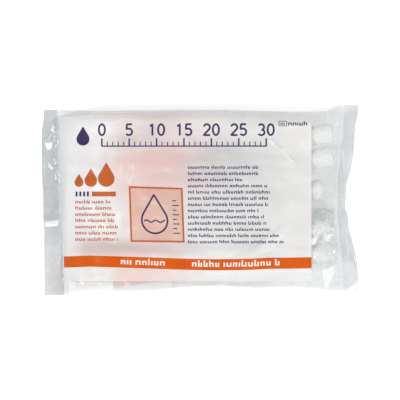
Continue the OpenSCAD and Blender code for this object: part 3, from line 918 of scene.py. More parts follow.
# Soft patches of painted shade on the white panel.
PAINTED_SHADES = (
    Cloud(11, 18, 26, 14, 0.42),
    Cloud(8, 24, 10, 5, 0.3),
    Cloud(22, 20, 10, 6, 0.15),
    Cloud(17, -5, 40, 22, 0.2),
    Cloud(-44, -23, 26, 4.2, 0.55),
    Cloud(-4, -24.5, 17, 4, 0.2),
    Cloud(-17.5, 38, 12, 5.5, 0.1),
    Cloud(-37.5, 29.5, 7, 4.5, 0.35),
    Cloud(-25, 31, 7, 6, 0.3),
    Cloud(28, -24, 12, 6, 0.24),
)
PANEL_RISES = ((-69, 0.0), (-60, 0.5), (-53, 1.6), (22, 1.6), (35, 1.2), (48, 0.7), (56, 0.4))
BAND_RISES = ((-67, 0.6), (-55, 1.15), (-43, 0.8), (-31, 0.4), (-19, 0.0), (-7, -0.4), (5, -0.7),
              (17, -0.6), (25, -0.45), (34, 0.1), (42, 0.1), (55, 0.3))
# Painted shade in the gap between the caps, laid on the back web.
PAINTED_GAP_SHADE = Facet(((54, 1), (64, 1), (66, -4), (66, -10), (54, -10)), 1.0, 0.0, 3.0)
# Painted highlights on the left crimp.
LEFT_FACETS = (
    Facet(((-78, 28.5), (-74, 29), (-74.5, 26), (-76.5, 25)), 1.0, 0.6, 0.5),
    Facet(((-76.2, 18.7), (-73.4, 16), (-74.5, 15), (-76, 17)), 1.0, 0.5, 0.4),
    Facet(((-78, -11), (-71, -10), (-71, -13), (-77.5, -13.5)), 0.9, 0.5, 0.5),
    Facet(((-74, -41), (-72, -38), (-71.5, -43)), 0.4, 0.3, 0.6),
)


def cast_down(names: Iterable[str], x: np.ndarray, y: np.ndarray, miss: float) -> np.ndarray:
    """Height of the topmost CAD surface under each point.

    Args:
        names: CAD nodes to look at.
        x: X of the points.
        y: Y of the points.
        miss: Height where there is nothing.

    Returns:
        Heights, in the shape of x.
    """
    vertices, faces = [], []
    for name in names:
        mesh = frame["nodes"][name].data
        base = len(vertices)
        vertices.extend(v.co.copy() for v in mesh.vertices)
        faces.extend([base + i for i in p.vertices] for p in mesh.polygons)
    tree = BVHTree.FromPolygons(vertices, faces)
    down = Vector((0, 0, -1))
    found = np.full(x.size, miss, dtype=float)
    for i, (px, py) in enumerate(zip(x.ravel(), y.ravel())):
        hit = tree.ray_cast(Vector((px, py, OVERHEAD)), down)[0]
        if hit is not None:
            found[i] = hit.z
    return found.reshape(x.shape)


@dataclass
class FilmShape:
    """Shape of the front web: a membrane laid over the syringes, with the photograph's creases.

    It is kept on a grid of points, the first index along the pack and the second across it.
    """

    outline: PackOutline
    along: int = 330
    across: int = 216
    gap: float = 0.3 * MM
    sag: float = 0.5 * MM
    rest: float = 0.3 * MM
    passes: int = 110
    lift: float = 0.00035 * MM
    crease_rim: int = 7
    wave_rim: int = 22
    wave_lengths: tuple = (7, 9, 11, 14)
    wave_height: float = 0.012
    wave_bend: tuple = (2.5, 17, 13)
    wave_seed: int = 11
    x: np.ndarray = field(init=False)
    y: np.ndarray = field(init=False)
    z: np.ndarray = field(init=False)
    white: np.ndarray = field(init=False)

    def __post_init__(self) -> None:
        """Works the shape out."""
        u, v = np.meshgrid(np.linspace(0, 1, self.along + 1), np.linspace(0, 1, self.across + 1),
                           indexing="ij")
        self.x, self.y = self.plan(u, v)
        pillow = cast_down(["front_film"], self.x, self.y, self.rest)
        names = [n for kind in ("plunger_cap", "barrel", "needle_shield") for n in numbered(kind)]
        solid = self.widened(cast_down(names, self.x, self.y, 0)) + self.gap
        self.z = self.draped(np.maximum(pillow, self.rest), solid)
        self.wrinkle(solid)

    def plan(self, u: np.ndarray, v: np.ndarray) -> tuple[np.ndarray, np.ndarray]:
        """Plan places of grid shares.

        Args:
            u: Shares along the pack.
            v: Shares across it.

        Returns:
            X and Y, in metres.
        """
        x = self.outline.half_l * (2 * u - 1)
        for _ in range(FITTING_ROUNDS):
            y = self.outline.bottom(x) + (self.outline.top(x) - self.outline.bottom(x)) * v
            left = self.outline.left(y)
            x = left + (self.outline.fold(y) - left) * u
        return x, y

    @staticmethod
    def widened(z: np.ndarray) -> np.ndarray:
        """Raises each height to the greatest of its neighbours.

        Args:
            z: Heights on the grid.

        Returns:
            The raised heights.
        """
        for axis in (0, 1):
            z = np.maximum(z, np.maximum(np.roll(z, 1, axis), np.roll(z, -1, axis)))
        return z

    def draped(self, pillow: np.ndarray, solid: np.ndarray) -> np.ndarray:
        """Relaxes the film between the solids and the full pillow.

        Args:
            pillow: Height of the film when full.
            solid: Least height over the syringes.

        Returns:
            The draped height.
        """
        z = pillow.copy()
        floor = np.maximum(solid, pillow - self.sag)
        for _ in range(self.passes):
            mean = (z[:-2, 1:-1] + z[2:, 1:-1] + z[1:-1, :-2] + z[1:-1, 2:]) / 4
            z[1:-1, 1:-1] = np.maximum(mean + self.lift, floor[1:-1, 1:-1])
        return z

    def wrinkle(self, solid: np.ndarray) -> None:
        """Adds waves, creases and crumpled facets with their painted highlights, and keeps the film off the
        syringes.

        Args:
            solid: Least height over the syringes.
        """
        edge = self.edge_fade(self.crease_rim)
        self.white = np.zeros_like(self.z)
        for mark in CREASES + FACETS + RIGHT_CREASES + RIGHT_FACETS + FoldFlecks().creases():
            height, white = mark.field(self.x, self.y)
            self.z += height * edge
            self.white = np.maximum(self.white, white)
        folds, shine = Crumple().field(self.x, self.y)
        self.z += folds * edge + self.waves() * self.edge_fade(self.wave_rim)
        self.white = np.maximum(self.white, shine)
        inner = (slice(1, -1), slice(1, -1))
        self.z[inner] = np.maximum(self.z, solid)[inner]

    def edge_fade(self, cells: int) -> np.ndarray:
        """A share for each grid point that keeps the rim in place.

        Args:
            cells: Width of the rim, in cells.

        Returns:
            0 on the rim of the grid, 1 from the given number of cells in.
        """
        i, j = (np.minimum(np.arange(count + 1), count - np.arange(count + 1))
                for count in (self.along, self.across))
        return smooth_step(np.minimum(i[:, None] / cells, j[None, :] / cells))

    def waves(self) -> np.ndarray:
        """Long soft waves of the slack film.

        Returns:
            Their height at each grid point, in metres.
        """
        picked = random.Random(self.wave_seed)
        bend, bend_along, bend_across = self.wave_bend
        total = np.zeros_like(self.x)
        for length in self.wave_lengths:
            turn, start = picked.uniform(0, math.pi), picked.uniform(0, 2 * math.pi)
            way = (self.x * math.cos(turn) + self.y * math.sin(turn)) / MM
            bent = way + bend * np.sin(way / bend_along + self.y / MM / bend_across + start)
            total += self.wave_height * length * MM * np.sin(2 * math.pi * bent / length + start)
        return total

    def height(self, x: np.ndarray, y: np.ndarray) -> np.ndarray:
        """Film height at any points."""
        return self.sampled(self.z, x, y)

    def sampled(self, values: np.ndarray, x: np.ndarray, y: np.ndarray) -> np.ndarray:
        """Any grid of values at any points.

        Args:
            values: Values at the grid points.
            x: X of the points, in metres.
            y: Y of the points, in metres.

        Returns:
            The values there, by linear steps between grid points.
        """
        left = self.outline.left(y)
        u = (x - left) / (self.outline.fold(y) - left)
        v = (y - self.outline.bottom(x)) / (self.outline.top(x) - self.outline.bottom(x))
        hair = 1e-6
        i = np.clip(u * self.along, 0, self.along - hair)
        j = np.clip(v * self.across, 0, self.across - hair)
        i0, j0 = i.astype(int), j.astype(int)
        fi, fj = i - i0, j - j0
        return ((1 - fi) * ((1 - fj) * values[i0, j0] + fj * values[i0, j0 + 1])
                + fi * ((1 - fj) * values[i0 + 1, j0] + fj * values[i0 + 1, j0 + 1]))

    def drape(self, piece: bpy.types.Object, above: float) -> None:
        """Lays a flat piece on the film.

        Args:
            piece: Piece drawn in plan.
            above: Height over the film, in metres.
        """
        co = points_of(piece.data)
        co[:, 2] = self.height(co[:, 0], co[:, 1]) + above + co[:, 2]
        place_points(piece.data, co)


@dataclass(frozen=True)
class ShieldGlow:
    """Painted glow where the needle shields show through the white ink, brightest in a few soft patches.

    Lengths are in millimetres: a shield starts behind its flange, and its glow spreads and fades with
    the depth of the shield under the film.
    """

    start: float = 45
    length: float = 44
    spread: float = 3.2
    spread_gain: float = 0.5
    clear_depth: float = 4
    fade_depth: float = 9
    hub: tuple = (2.5, 0.2)
    strength: float = 0.9
    left_least: float = 0.25
    left: Ramp = Ramp(-47, 9, 0.75)
    right: Ramp = Ramp(13, -12)
    clear_least: float = 0.3
    clear_patches: tuple = (Cloud(-19, 21, 26, 14, 0.8), Cloud(-29, -39, 28, 6, 0.4))
    patches: tuple = (Cloud(-19, 21, 26, 14, 0.45), Cloud(-42, -24, 24, 3.6, 1.4),
                      Cloud(-23, 41, 15, 8, 0.5))

    def of_seat(self, seat: Seat, x: np.ndarray, y: np.ndarray, height: np.ndarray) -> np.ndarray:
        """Glow of one syringe's shield.

        Args:
            seat: Where the syringe lies.
            x: X of the points, in metres.
            y: Y of the points, in metres.
            height: Height of the film there, in metres.

        Returns:
            Its strength at the points.
        """
        root = seat.base - seat.way * self.start * MM
        tip = seat.base - seat.way * (self.start + self.length) * MM
        span = np.array((tip - root)[:2])
        reach = float(np.hypot(*span))
        t = np.clip(((x - root.x) * span[0] + (y - root.y) * span[1]) / reach ** 2, 0, 1)
        away = np.hypot(x - root.x - t * span[0], y - root.y - t * span[1])
        depth = height - (seat.base.z - seat.way.z * (self.start + self.length * t) * MM)
        spread = self.spread * MM + self.spread_gain * np.maximum(depth, 0)
        faded = np.exp(-np.maximum(depth - self.clear_depth * MM, 0) / (self.fade_depth * MM))
        rise, least = self.hub
        return self.strength * (faded * smooth_step(rise * t + least)) * np.exp(-((away / spread) ** 2))

    def field(self, x: np.ndarray, y: np.ndarray, height: np.ndarray) -> np.ndarray:
        """Glow of all shields together.

        Args:
            x: X of the points, in metres.
            y: Y of the points, in metres.
            height: Height of the film there, in metres.

        Returns:
            Its strength at the points, from 0 to 1.
        """
        total = sum(self.of_seat(seat, x, y, height) for seat in seats())
        kept = (self.left_least + self.left.at(x / MM)) * self.right.at(x / MM)
        clear = self.clear_least + sum(patch.field(x, y) for patch in self.clear_patches)
        return 1 - np.exp(-total * clear * kept - sum(patch.field(x, y) for patch in self.patches))


@dataclass(frozen=True)
class Ridges:
    """Fine ridges of a weld: their middle height, depth and pitch, in millimetres."""

    middle: float
    depth: float
    pitch: float = 1.0

    def height(self, way: np.ndarray) -> np.ndarray:
        """Height in metres at places along the way across the ridges."""
        return (self.middle + self.depth * np.cos(2 * math.pi * way / (self.pitch * MM))) * MM


@dataclass
class FilmBag:
    """The film bag: front and back webs, both crimps, the fin seal and the two ink layers.

    Lengths are in metres. The pale ramps give whiteness along Y, or for the fold along the crimp's
    width; at the fold and on the right crimp this is painted highlight. The shares say how much of a
    ridge's height and whiteness a crimp takes over. The angles, in degrees, are those up to which an
    edge is shaded smooth.
    """

    shape: FilmShape
    materials: dict
    bend_start: float = -69 * MM
    bend_end: float = -38 * MM
    weld_rows: int = 256
    tooth_rows: int = 128
    left_cells: int = 44
    right_cells: int = 28
    back_cells: int = 200
    web_angle: float = 50
    flat_angle: float = 60
    seam_cells: tuple = (120, 48)
    steep: Ramp = Ramp(0.85, -0.6)
    back_z: float = 0.16 * MM
    seam_step: float = 0.28 * MM
    seam_slope: float = 0.4 * MM
    left_ridges: Ridges = Ridges(0.42, 0.09)
    right_ridges: Ridges = Ridges(0.45, 0.04)
    seam_ridges: Ridges = Ridges(0.17, 0.03, 1.2)
    left_pale: Ramp = Ramp(-6 * MM, -24 * MM, 0.38)
    fold_pale: Ramp = Ramp(0.86, 0.08, 0.3)
    right_pale: Ramp = Ramp(-24 * MM, -11 * MM, 0.95)
    left_share: float = 0.8
    right_share: float = 0.5
    right_pale_share: float = 0.8
    ink_cell: float = 0.6 * MM
    ink_inset: float = 0.5 * MM
    print_drop: float = -0.5 * MM
    panel_above: float = 0.06 * MM
    band_above: float = 0.1 * MM
    panel_lift: Ramp = Ramp(0.85, 0.15)
    band_lift: Ramp = Ramp(-0.15, 0.15)

    def build(self) -> None:
        """Builds every film piece."""
        self.front_web()
        self.back_web()
        self.left_weld()
        self.right_weld()
        self.back_seam()
        self.white_panel()
        self.orange_band()

    def bend(self, piece: bpy.types.Object) -> None:
        """Bakes a piece's transform into its mesh.

        Args:
            piece: The piece.
        """
        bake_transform(piece)

    def finish(self, piece: bpy.types.Object, slot: Slot, nodes: tuple, body: Body | None) -> None:
        """Dresses a piece, hides the CAD nodes that it replaces and ties it to a body or bakes it in place.

        Args:
            piece: The piece.
            slot: Material slot of the record.
            nodes: CAD nodes that it replaces.
            body: Body that it rides on, or None to bake its transform in place.
        """
        dress(piece, self.materials[slot])
        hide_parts(*nodes)
        if body is None:
            self.bend(piece)
        else:
            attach(piece, body.value)
        report(piece)

    def front_web(self) -> None:
        """Front web with its creases."""
        shape = self.shape
        piece = grid_piece("front_web", shape.along, shape.across)
        u, v = self.shares_of(piece)
        i, j = np.rint(u * shape.along).astype(int), np.rint(v * shape.across).astype(int)
        place_points(piece.data, np.stack([shape.x[i, j], shape.y[i, j], shape.z[i, j]], 1))
        self.marks(piece, shape.white[i, j])
        smooth_shaded(piece, self.web_angle)
        self.finish(piece, Slot.FILM, ("front_film",), None)

    def marks(self, piece: bpy.types.Object, white: np.ndarray) -> None:
        """Stores the whiteness of creases and painted highlights, or painted shade, and how steep the film is at
        each vertex.

        Args:
            piece: The film piece.
            white: Whiteness at each vertex.
        """
        mesh = piece.data
        normals = np.empty(len(mesh.vertices) * 3)
        mesh.vertices.foreach_get("normal", normals)
        up = np.abs(normals.reshape(-1, 3)[:, 2])
        write_values(mesh, "crease", white)
        write_values(mesh, "steep", self.steep.at(up))

    @staticmethod
    def shares_of(piece: bpy.types.Object) -> tuple[np.ndarray, np.ndarray]:
        """Places of a unit grid's vertices as shares.

        Args:
            piece: The grid.

        Returns:
            Shares along X and along Y, from 0 to 1.
        """
        co = points_of(piece.data)
        return co[:, 0] + 0.5, co[:, 1] + 0.5

    def shaped(self, piece: bpy.types.Object, places: tuple, white: np.ndarray) -> None:
        """Gives a film piece its places and marks, and shades it smooth.

        Args:
            piece: The piece.
            places: X, Y and Z of its vertices, in metres.
            white: Whiteness at each vertex.
        """
        place_points(piece.data, np.stack(places, 1))
        self.marks(piece, white)
        smooth_shaded(piece, self.flat_angle)

    def back_web(self) -> None:
        """Back web: flat, cut in a zigzag at both ends, stepping over the fin seal."""
        outline = self.shape.outline
        piece = grid_piece("back_web", self.back_cells, self.weld_rows)
        u, v = self.shares_of(piece)
        x = outline.half_l * (2 * u - 1)
        for _ in range(FITTING_ROUNDS):
            y = outline.bottom(x) + (outline.top(x) - outline.bottom(x)) * v
            x = outline.left_cut(y) + (outline.right(y) - outline.left_cut(y)) * u
        cut = outline.teeth(v, self.tooth_rows)
        x = np.where(u < RIM, x + cut, np.where(u > 1 - RIM, x - cut, x))
        low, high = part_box("back_fin_seal")
        inside = np.minimum.reduce([x - low.x, high.x - x, y - low.y, high.y - y])
        z = self.back_z + self.seam_step * smooth_step(inside / self.seam_slope + 1)
        # Its mask is painted shade in the gap between the caps.
        self.shaped(piece, (x, y, z), PAINTED_GAP_SHADE.field(x, y)[1])
        self.finish(piece, Slot.FILM, ("back_film",), Body.BAG)
        dress(piece, printed(BACK_FILM))

    def left_weld(self) -> None:
        """Left crimp: fine ridges across the pack, a zigzag cut and a few folded patches."""
        outline = self.shape.outline
        piece = grid_piece("left_weld", self.left_cells, self.weld_rows)
        u, v = self.shares_of(piece)
        y = outline.bottom(-outline.half_l) * (1 - v) + outline.top(-outline.half_l) * v
        x = outline.left_cut(y) + (outline.left(y) - outline.left_cut(y)) * u
        z = self.left_ridges.height(x)
        white = np.maximum(self.left_pale.at(y), self.fold_pale.at(u))
        for mark in LEFT_FACETS + FoldFlecks().creases():
            height, pale = mark.field(x, y)
            z += self.left_share * height
            white = np.maximum(white, pale)
        x = np.where(u < RIM, x + outline.teeth(v, self.tooth_rows), x)
        self.shaped(piece, (x, y, z), white)
        self.finish(piece, Slot.WELD, ("left_crimp",), Body.BAG)

    def right_weld(self) -> None:
        """Right crimp: drawn in at the middle, with creases that run out to the cut."""
        outline = self.shape.outline
        piece = grid_piece("right_weld", self.right_cells, self.weld_rows)
        u, v = self.shares_of(piece)
        x = np.full(len(u), outline.half_l)
        for _ in range(FITTING_ROUNDS):
            y = outline.bottom(x) + (outline.top(x) - outline.bottom(x)) * v
            x = outline.fold(y) + (outline.right(y) - outline.fold(y)) * u
        z = self.right_ridges.height(x - outline.right(y))
        white = self.right_pale.at(y)
        for mark in RIGHT_CREASES + RIGHT_FACETS:
            height, pale = mark.field(x, y)
            z += self.right_share * height
            white = np.maximum(white, self.right_pale_share * pale)
        x = np.where(u > 1 - RIM, x - outline.teeth(v, self.tooth_rows), x)
        self.shaped(piece, (x, y, z), white)
        self.finish(piece, Slot.WELD, ("right_crimp",), Body.FRONT)
        dress(piece, printed(SOFT_WELD))

    def back_seam(self) -> None:
        """Fin seal: a ridged strip folded flat under the back web."""
        low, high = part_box("back_fin_seal")
        piece = grid_piece("back_seam", *self.seam_cells)
        u, v = self.shares_of(piece)
        x = low.x + (high.x - low.x) * u
        y = low.y + (high.y - low.y) * v
        self.shaped(piece, (x, y, self.seam_ridges.height(y)), np.zeros(len(x)))
        self.finish(piece, Slot.WELD, ("back_fin_seal",), Body.BAG)
        dress(piece, printed(BACK_FILM))

    @staticmethod
    def shade(x: np.ndarray, y: np.ndarray) -> np.ndarray:
        """Painted shade: how dark the panel is painted where the film stands off what lies behind it.

        Args:
            x: X of the points, in metres.
            y: Y of the points, in metres.

        Returns:
            Its darkness, from 0 to 1.
        """
        light = np.ones(len(x))
        for cloud in PAINTED_SHADES:
            light *= 1 - cloud.field(x, y)
        return 1 - light

    def ink_sheet(self, name: str, node: str, above: float, rises: tuple,
                  lifted: Ramp) -> bpy.types.Object:
        """A sheet of ink over the box that its CAD node has in plan.

        Args:
            name: Name of the piece.
            node: CAD node.
            above: Height over the film.
            rises: How far the rumpled film lifts it, as pairs of X and rise in millimetres.
            lifted: Where that lift sets in, as a share of its width.

        Returns:
            The piece, on the film.
        """
        low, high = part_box(node)
        cells = [round((high[a] - low[a]) / self.ink_cell) for a in (0, 1)]
        piece = grid_piece(name, *cells)
        u, v = self.shares_of(piece)
        y = low.y + self.print_drop + (high.y - low.y) * v
        left = self.shape.outline.left(y) + self.ink_inset
        x = left + (high.x - left) * u
        y = y + MM * rise_at(rises, x / MM) * lifted.at(v)
        place_points(piece.data, np.stack([x, y, np.zeros(len(x))], 1))
        self.shape.drape(piece, above)
        # Painted glow of the needle shields, stored for the ink's colour.
        write_values(piece.data, "glow", ShieldGlow().field(x, y, self.shape.height(x, y)))
        # Painted shade on the panel.
        write_values(piece.data, "shade", self.shade(x, y))
        # Painted highlights and fold whitening, sampled from the film.
        write_values(piece.data, "crease", self.shape.sampled(self.shape.white, x, y))
        smooth_shaded(piece, self.flat_angle)
        return piece

    def white_panel(self) -> None:
        """The white ink panel."""
        piece = self.ink_sheet("white_panel", "ink_panel", self.panel_above, PANEL_RISES,
                               self.panel_lift)
        self.finish(piece, Slot.WHITE_INK, ("ink_panel",), None)

    def orange_band(self) -> None:
        """The orange stripe on the panel, lifted over its whole width."""
        piece = self.ink_sheet("orange_band", "ink_stripe", self.band_above, BAND_RISES,
                               self.band_lift)
        self.finish(piece, Slot.ORANGE_INK, ("ink_stripe",), None)


# Print


def arc(middle: tuple, radii: tuple, start: float, end: float, steps: int = 14) -> list[tuple]:
    """Points of an elliptical arc.

    Args:
        middle: Its middle.
        radii: Its radii along X and Y.
        start: First angle, in degrees.
        end: Last angle, in degrees.
        steps: Number of steps.

    Returns:
        The points, from the first angle to the last one.
    """
    turns = [math.radians(start + (end - start) * k / steps) for k in range(steps + 1)]
    return [(middle[0] + radii[0] * math.cos(t), middle[1] + radii[1] * math.sin(t)) for t in turns]


DIGIT_TALL = 1.6
DIGIT_STEP = 1.25
DIGITS = {
    "0": [arc((0.5, 0.8), (0.42, 0.75), 0, 360, 20)],
    "1": [[(0.2, 1.25), (0.55, 1.55), (0.55, 0)]],
    "2": [arc((0.5, 1.12), (0.42, 0.43), 165, -30) + [(0.06, 0.05), (0.95, 0.05)]],
    "3": [arc((0.45, 1.15), (0.38, 0.4), 150, -85) + arc((0.45, 0.42), (0.45, 0.38), 85, -150)],
    "5": [[(0.88, 1.55), (0.18, 1.55), (0.13, 0.88)] + arc((0.46, 0.5), (0.44, 0.45), 115, -145)],
}


def number_strokes(number: int, x: float, y: float, height: float) -> list[list[tuple]]:
    """Strokes of a plain number, centred on x and standing on y.

    Args:
        number: Number to write.
        x: Middle, in millimetres.
        y: Base line, in millimetres.
        height: Height of the digits, in millimetres.

    Returns:
        One list of points for each stroke.
    """
    scale = height / DIGIT_TALL
    digits = str(number)
    left = x - (len(digits) * DIGIT_STEP - (DIGIT_STEP - 1)) * scale / 2
    return [[(left + (k * DIGIT_STEP + px) * scale, y + py * scale) for px, py in stroke]
            for k, digit in enumerate(digits) for stroke in DIGITS[digit]]


DROP_RADIUS_SHARE = 0.34
DROP_HEART_SHARE = 0.36
DROP_BELLY = (35, -215, 28)


def drop_outline(x: float, y: float, height: float) -> list[tuple]:
    """Closed outline of a drop with its tip up.

    Args:
        x: Its middle, in millimetres.
        y: Its lowest point.
        height: Its height.

    Returns:
        The points, from the tip round to the tip.
    """
    radius = height * DROP_RADIUS_SHARE
    tip = (x, y + height)
    belly = arc((x, y + radius), (radius, radius), *DROP_BELLY)
    return [tip, *belly, tip]


def divided(points: list[tuple], step: float) -> list[tuple]:
    """Divides a line more finely.

    Args:
        points: Points of the line.
        step: Greatest distance between two points.

    Returns:
        The same line, with its own points and those between them.
    """
    dense = [points[0]]
    for (x0, y0), (x1, y1) in zip(points, points[1:]):
        parts = max(1, math.ceil(math.hypot(x1 - x0, y1 - y0) / step))
        dense += [(x0 + (x1 - x0) * k / parts, y0 + (y1 - y0) * k / parts)
                  for k in range(1, parts + 1)]
    return dense


@dataclass
class FlatMesh:
    """Flat pieces of print, cut finely enough to follow the film."""

    step: float = 0.7
    closing_gap: ClassVar[float] = 0.01
    places: list = field(default_factory=list)
    faces: list = field(default_factory=list)

    def block(self, left: float, low: float, wide: float, tall: float) -> None:
        """Adds a rectangle.

        Args:
            left: Left edge, in millimetres.
            low: Lower edge.
            wide: Width.
            tall: Height.
        """
        cells_u, cells_v = (max(1, math.ceil(size / self.step)) for size in (wide, tall))
        base = len(self.places)
        self.places += [(left + wide * i / cells_u, low + tall * j / cells_v)
                        for i in range(cells_u + 1) for j in range(cells_v + 1)]
        for i in range(cells_u):
            for j in range(cells_v):
                corner = base + i * (cells_v + 1) + j
                self.faces.append((corner, corner + cells_v + 1, corner + cells_v + 2, corner + 1))

    def ribbon(self, points: list[tuple], width: float) -> None:
        """Adds a line of even width along points.

        Args:
            points: Points, in millimetres.
            width: Width of the line.
        """
        dense = divided(points, self.step)
        closed = math.dist(points[0], points[-1]) < self.closing_gap
        base, last = len(self.places), len(dense) - 1
        for k, (x, y) in enumerate(dense):
            before = dense[k - 1] if k else dense[-2] if closed else dense[0]
            after = dense[k + 1] if k < last else dense[1] if closed else dense[-1]
            way = Vector((after[0] - before[0], after[1] - before[1])).normalized() * width / 2
            self.places += [(x - way.y, y + way.x), (x + way.y, y - way.x)]
        for k in range(last):
            corner = base + 2 * k
            self.faces.append((corner + 1, corner + 3, corner + 2, corner))

    def drop(self, x: float, y: float, height: float, rings: int = 12) -> None:
        """Adds a filled drop.

        Args:
            x: Its middle, in millimetres.
            y: Its lowest point.
            height: Its height.
            rings: Number of rings that it is cut into.
        """
        outline = divided(drop_outline(x, y, height), self.step)[:-1]
        heart = (x, y + height * DROP_HEART_SHARE)
        base, count = len(self.places), len(outline)
        for ring in range(1, rings + 1):
            self.places += [(heart[0] + (px - heart[0]) * ring / rings,
                             heart[1] + (py - heart[1]) * ring / rings) for px, py in outline]
        self.places.append(heart)
        for k in range(count):
            after = (k + 1) % count
            self.faces.append((len(self.places) - 1, base + after, base + k))
            for ring in range(rings - 1):
                low, high = base + ring * count, base + (ring + 1) * count
                self.faces.append((low + k, low + after, high + after, high + k))

    def object(self, name: str) -> bpy.types.Object:
        """Makes the mesh object, facing up.

        Args:
            name: Name of the piece.

        Returns:
            The piece, in plan.
        """
        mesh = bpy.data.meshes.new(name)
        mesh.from_pydata([(x * MM, y * MM, 0) for x, y in self.places], [], self.faces)
        piece = bpy.data.objects.new(name, mesh)
        bpy.context.scene.collection.objects.link(piece)
        select_only(piece)
        bpy.ops.object.mode_set(mode="EDIT")
        bpy.ops.mesh.select_all(action="SELECT")
        bpy.ops.mesh.normals_make_consistent(inside=False)
        bpy.ops.object.mode_set(mode="OBJECT")
        return piece


@dataclass(frozen=True)
class MarkLine:
    """One line of small plain marks that stands for a line of print, in millimetres.

    The shares are of the line's height, and bar, widths and gaps are counted in stems. Marks come in
    words, some joined to a second stem, and there are three short marks for each tall one.
    """

    x0: float
    x1: float
    y: float
    height: float
    seed: int
    stem_share: ClassVar[float] = 0.235
    low_share: ClassVar[float] = 0.33
    short_share: ClassVar[float] = 0.64
    tall_share: ClassVar[float] = 0.95
    bar: ClassVar[float] = 0.8
    wide: ClassVar[tuple] = (2.6, 3.4)
    gap: ClassVar[float] = 0.9
    word_gap: ClassVar[float] = 1.8
    word_marks: ClassVar[tuple] = (3, 9)
    joined_odds: ClassVar[float] = 0.7
    short_marks: ClassVar[int] = 3

    def draw(self, sheet: FlatMesh) -> None:
        """Draws the line: stems of even width in groups, some joined by a bar.

        Args:
            sheet: The print that it is added to.
        """
        picked = random.Random(self.seed)
        stem = self.height * self.stem_share
        short, bar = self.short_share * self.height, self.bar * stem
        low = self.y - self.low_share * self.height
        x = self.x0
        while x < self.x1:
            for _ in range(picked.randint(*self.word_marks)):
                joined = picked.random() < self.joined_odds
                wide = stem * (picked.uniform(*self.wide) if joined else 1)
                if x + wide > self.x1:
                    break
                heights = (self.short_share,) * self.short_marks + (self.tall_share,)
                tall = self.height * picked.choice(heights)
                sheet.block(x, low, stem, tall)
                if joined:
                    sheet.block(x + wide - stem, low, stem, short)
                    sheet.block(x + stem, low + picked.choice((0, short - bar)), wide - 2 * stem, bar)
                x += wide + self.gap * stem
            x += self.word_gap * stem


@dataclass(frozen=True)
class MarkRows:
    """Lines of marks from a first one downwards, each to its own end, in millimetres."""

    x0: float
    y: float
    height: float
    seed: int
    ends: tuple
    pitch: float = 3.1

    def lines(self) -> list[MarkLine]:
        """The lines, from the top."""
        return [MarkLine(self.x0, x1, self.y - self.pitch * k, self.height, self.seed + k)
                for k, x1 in enumerate(self.ends)]


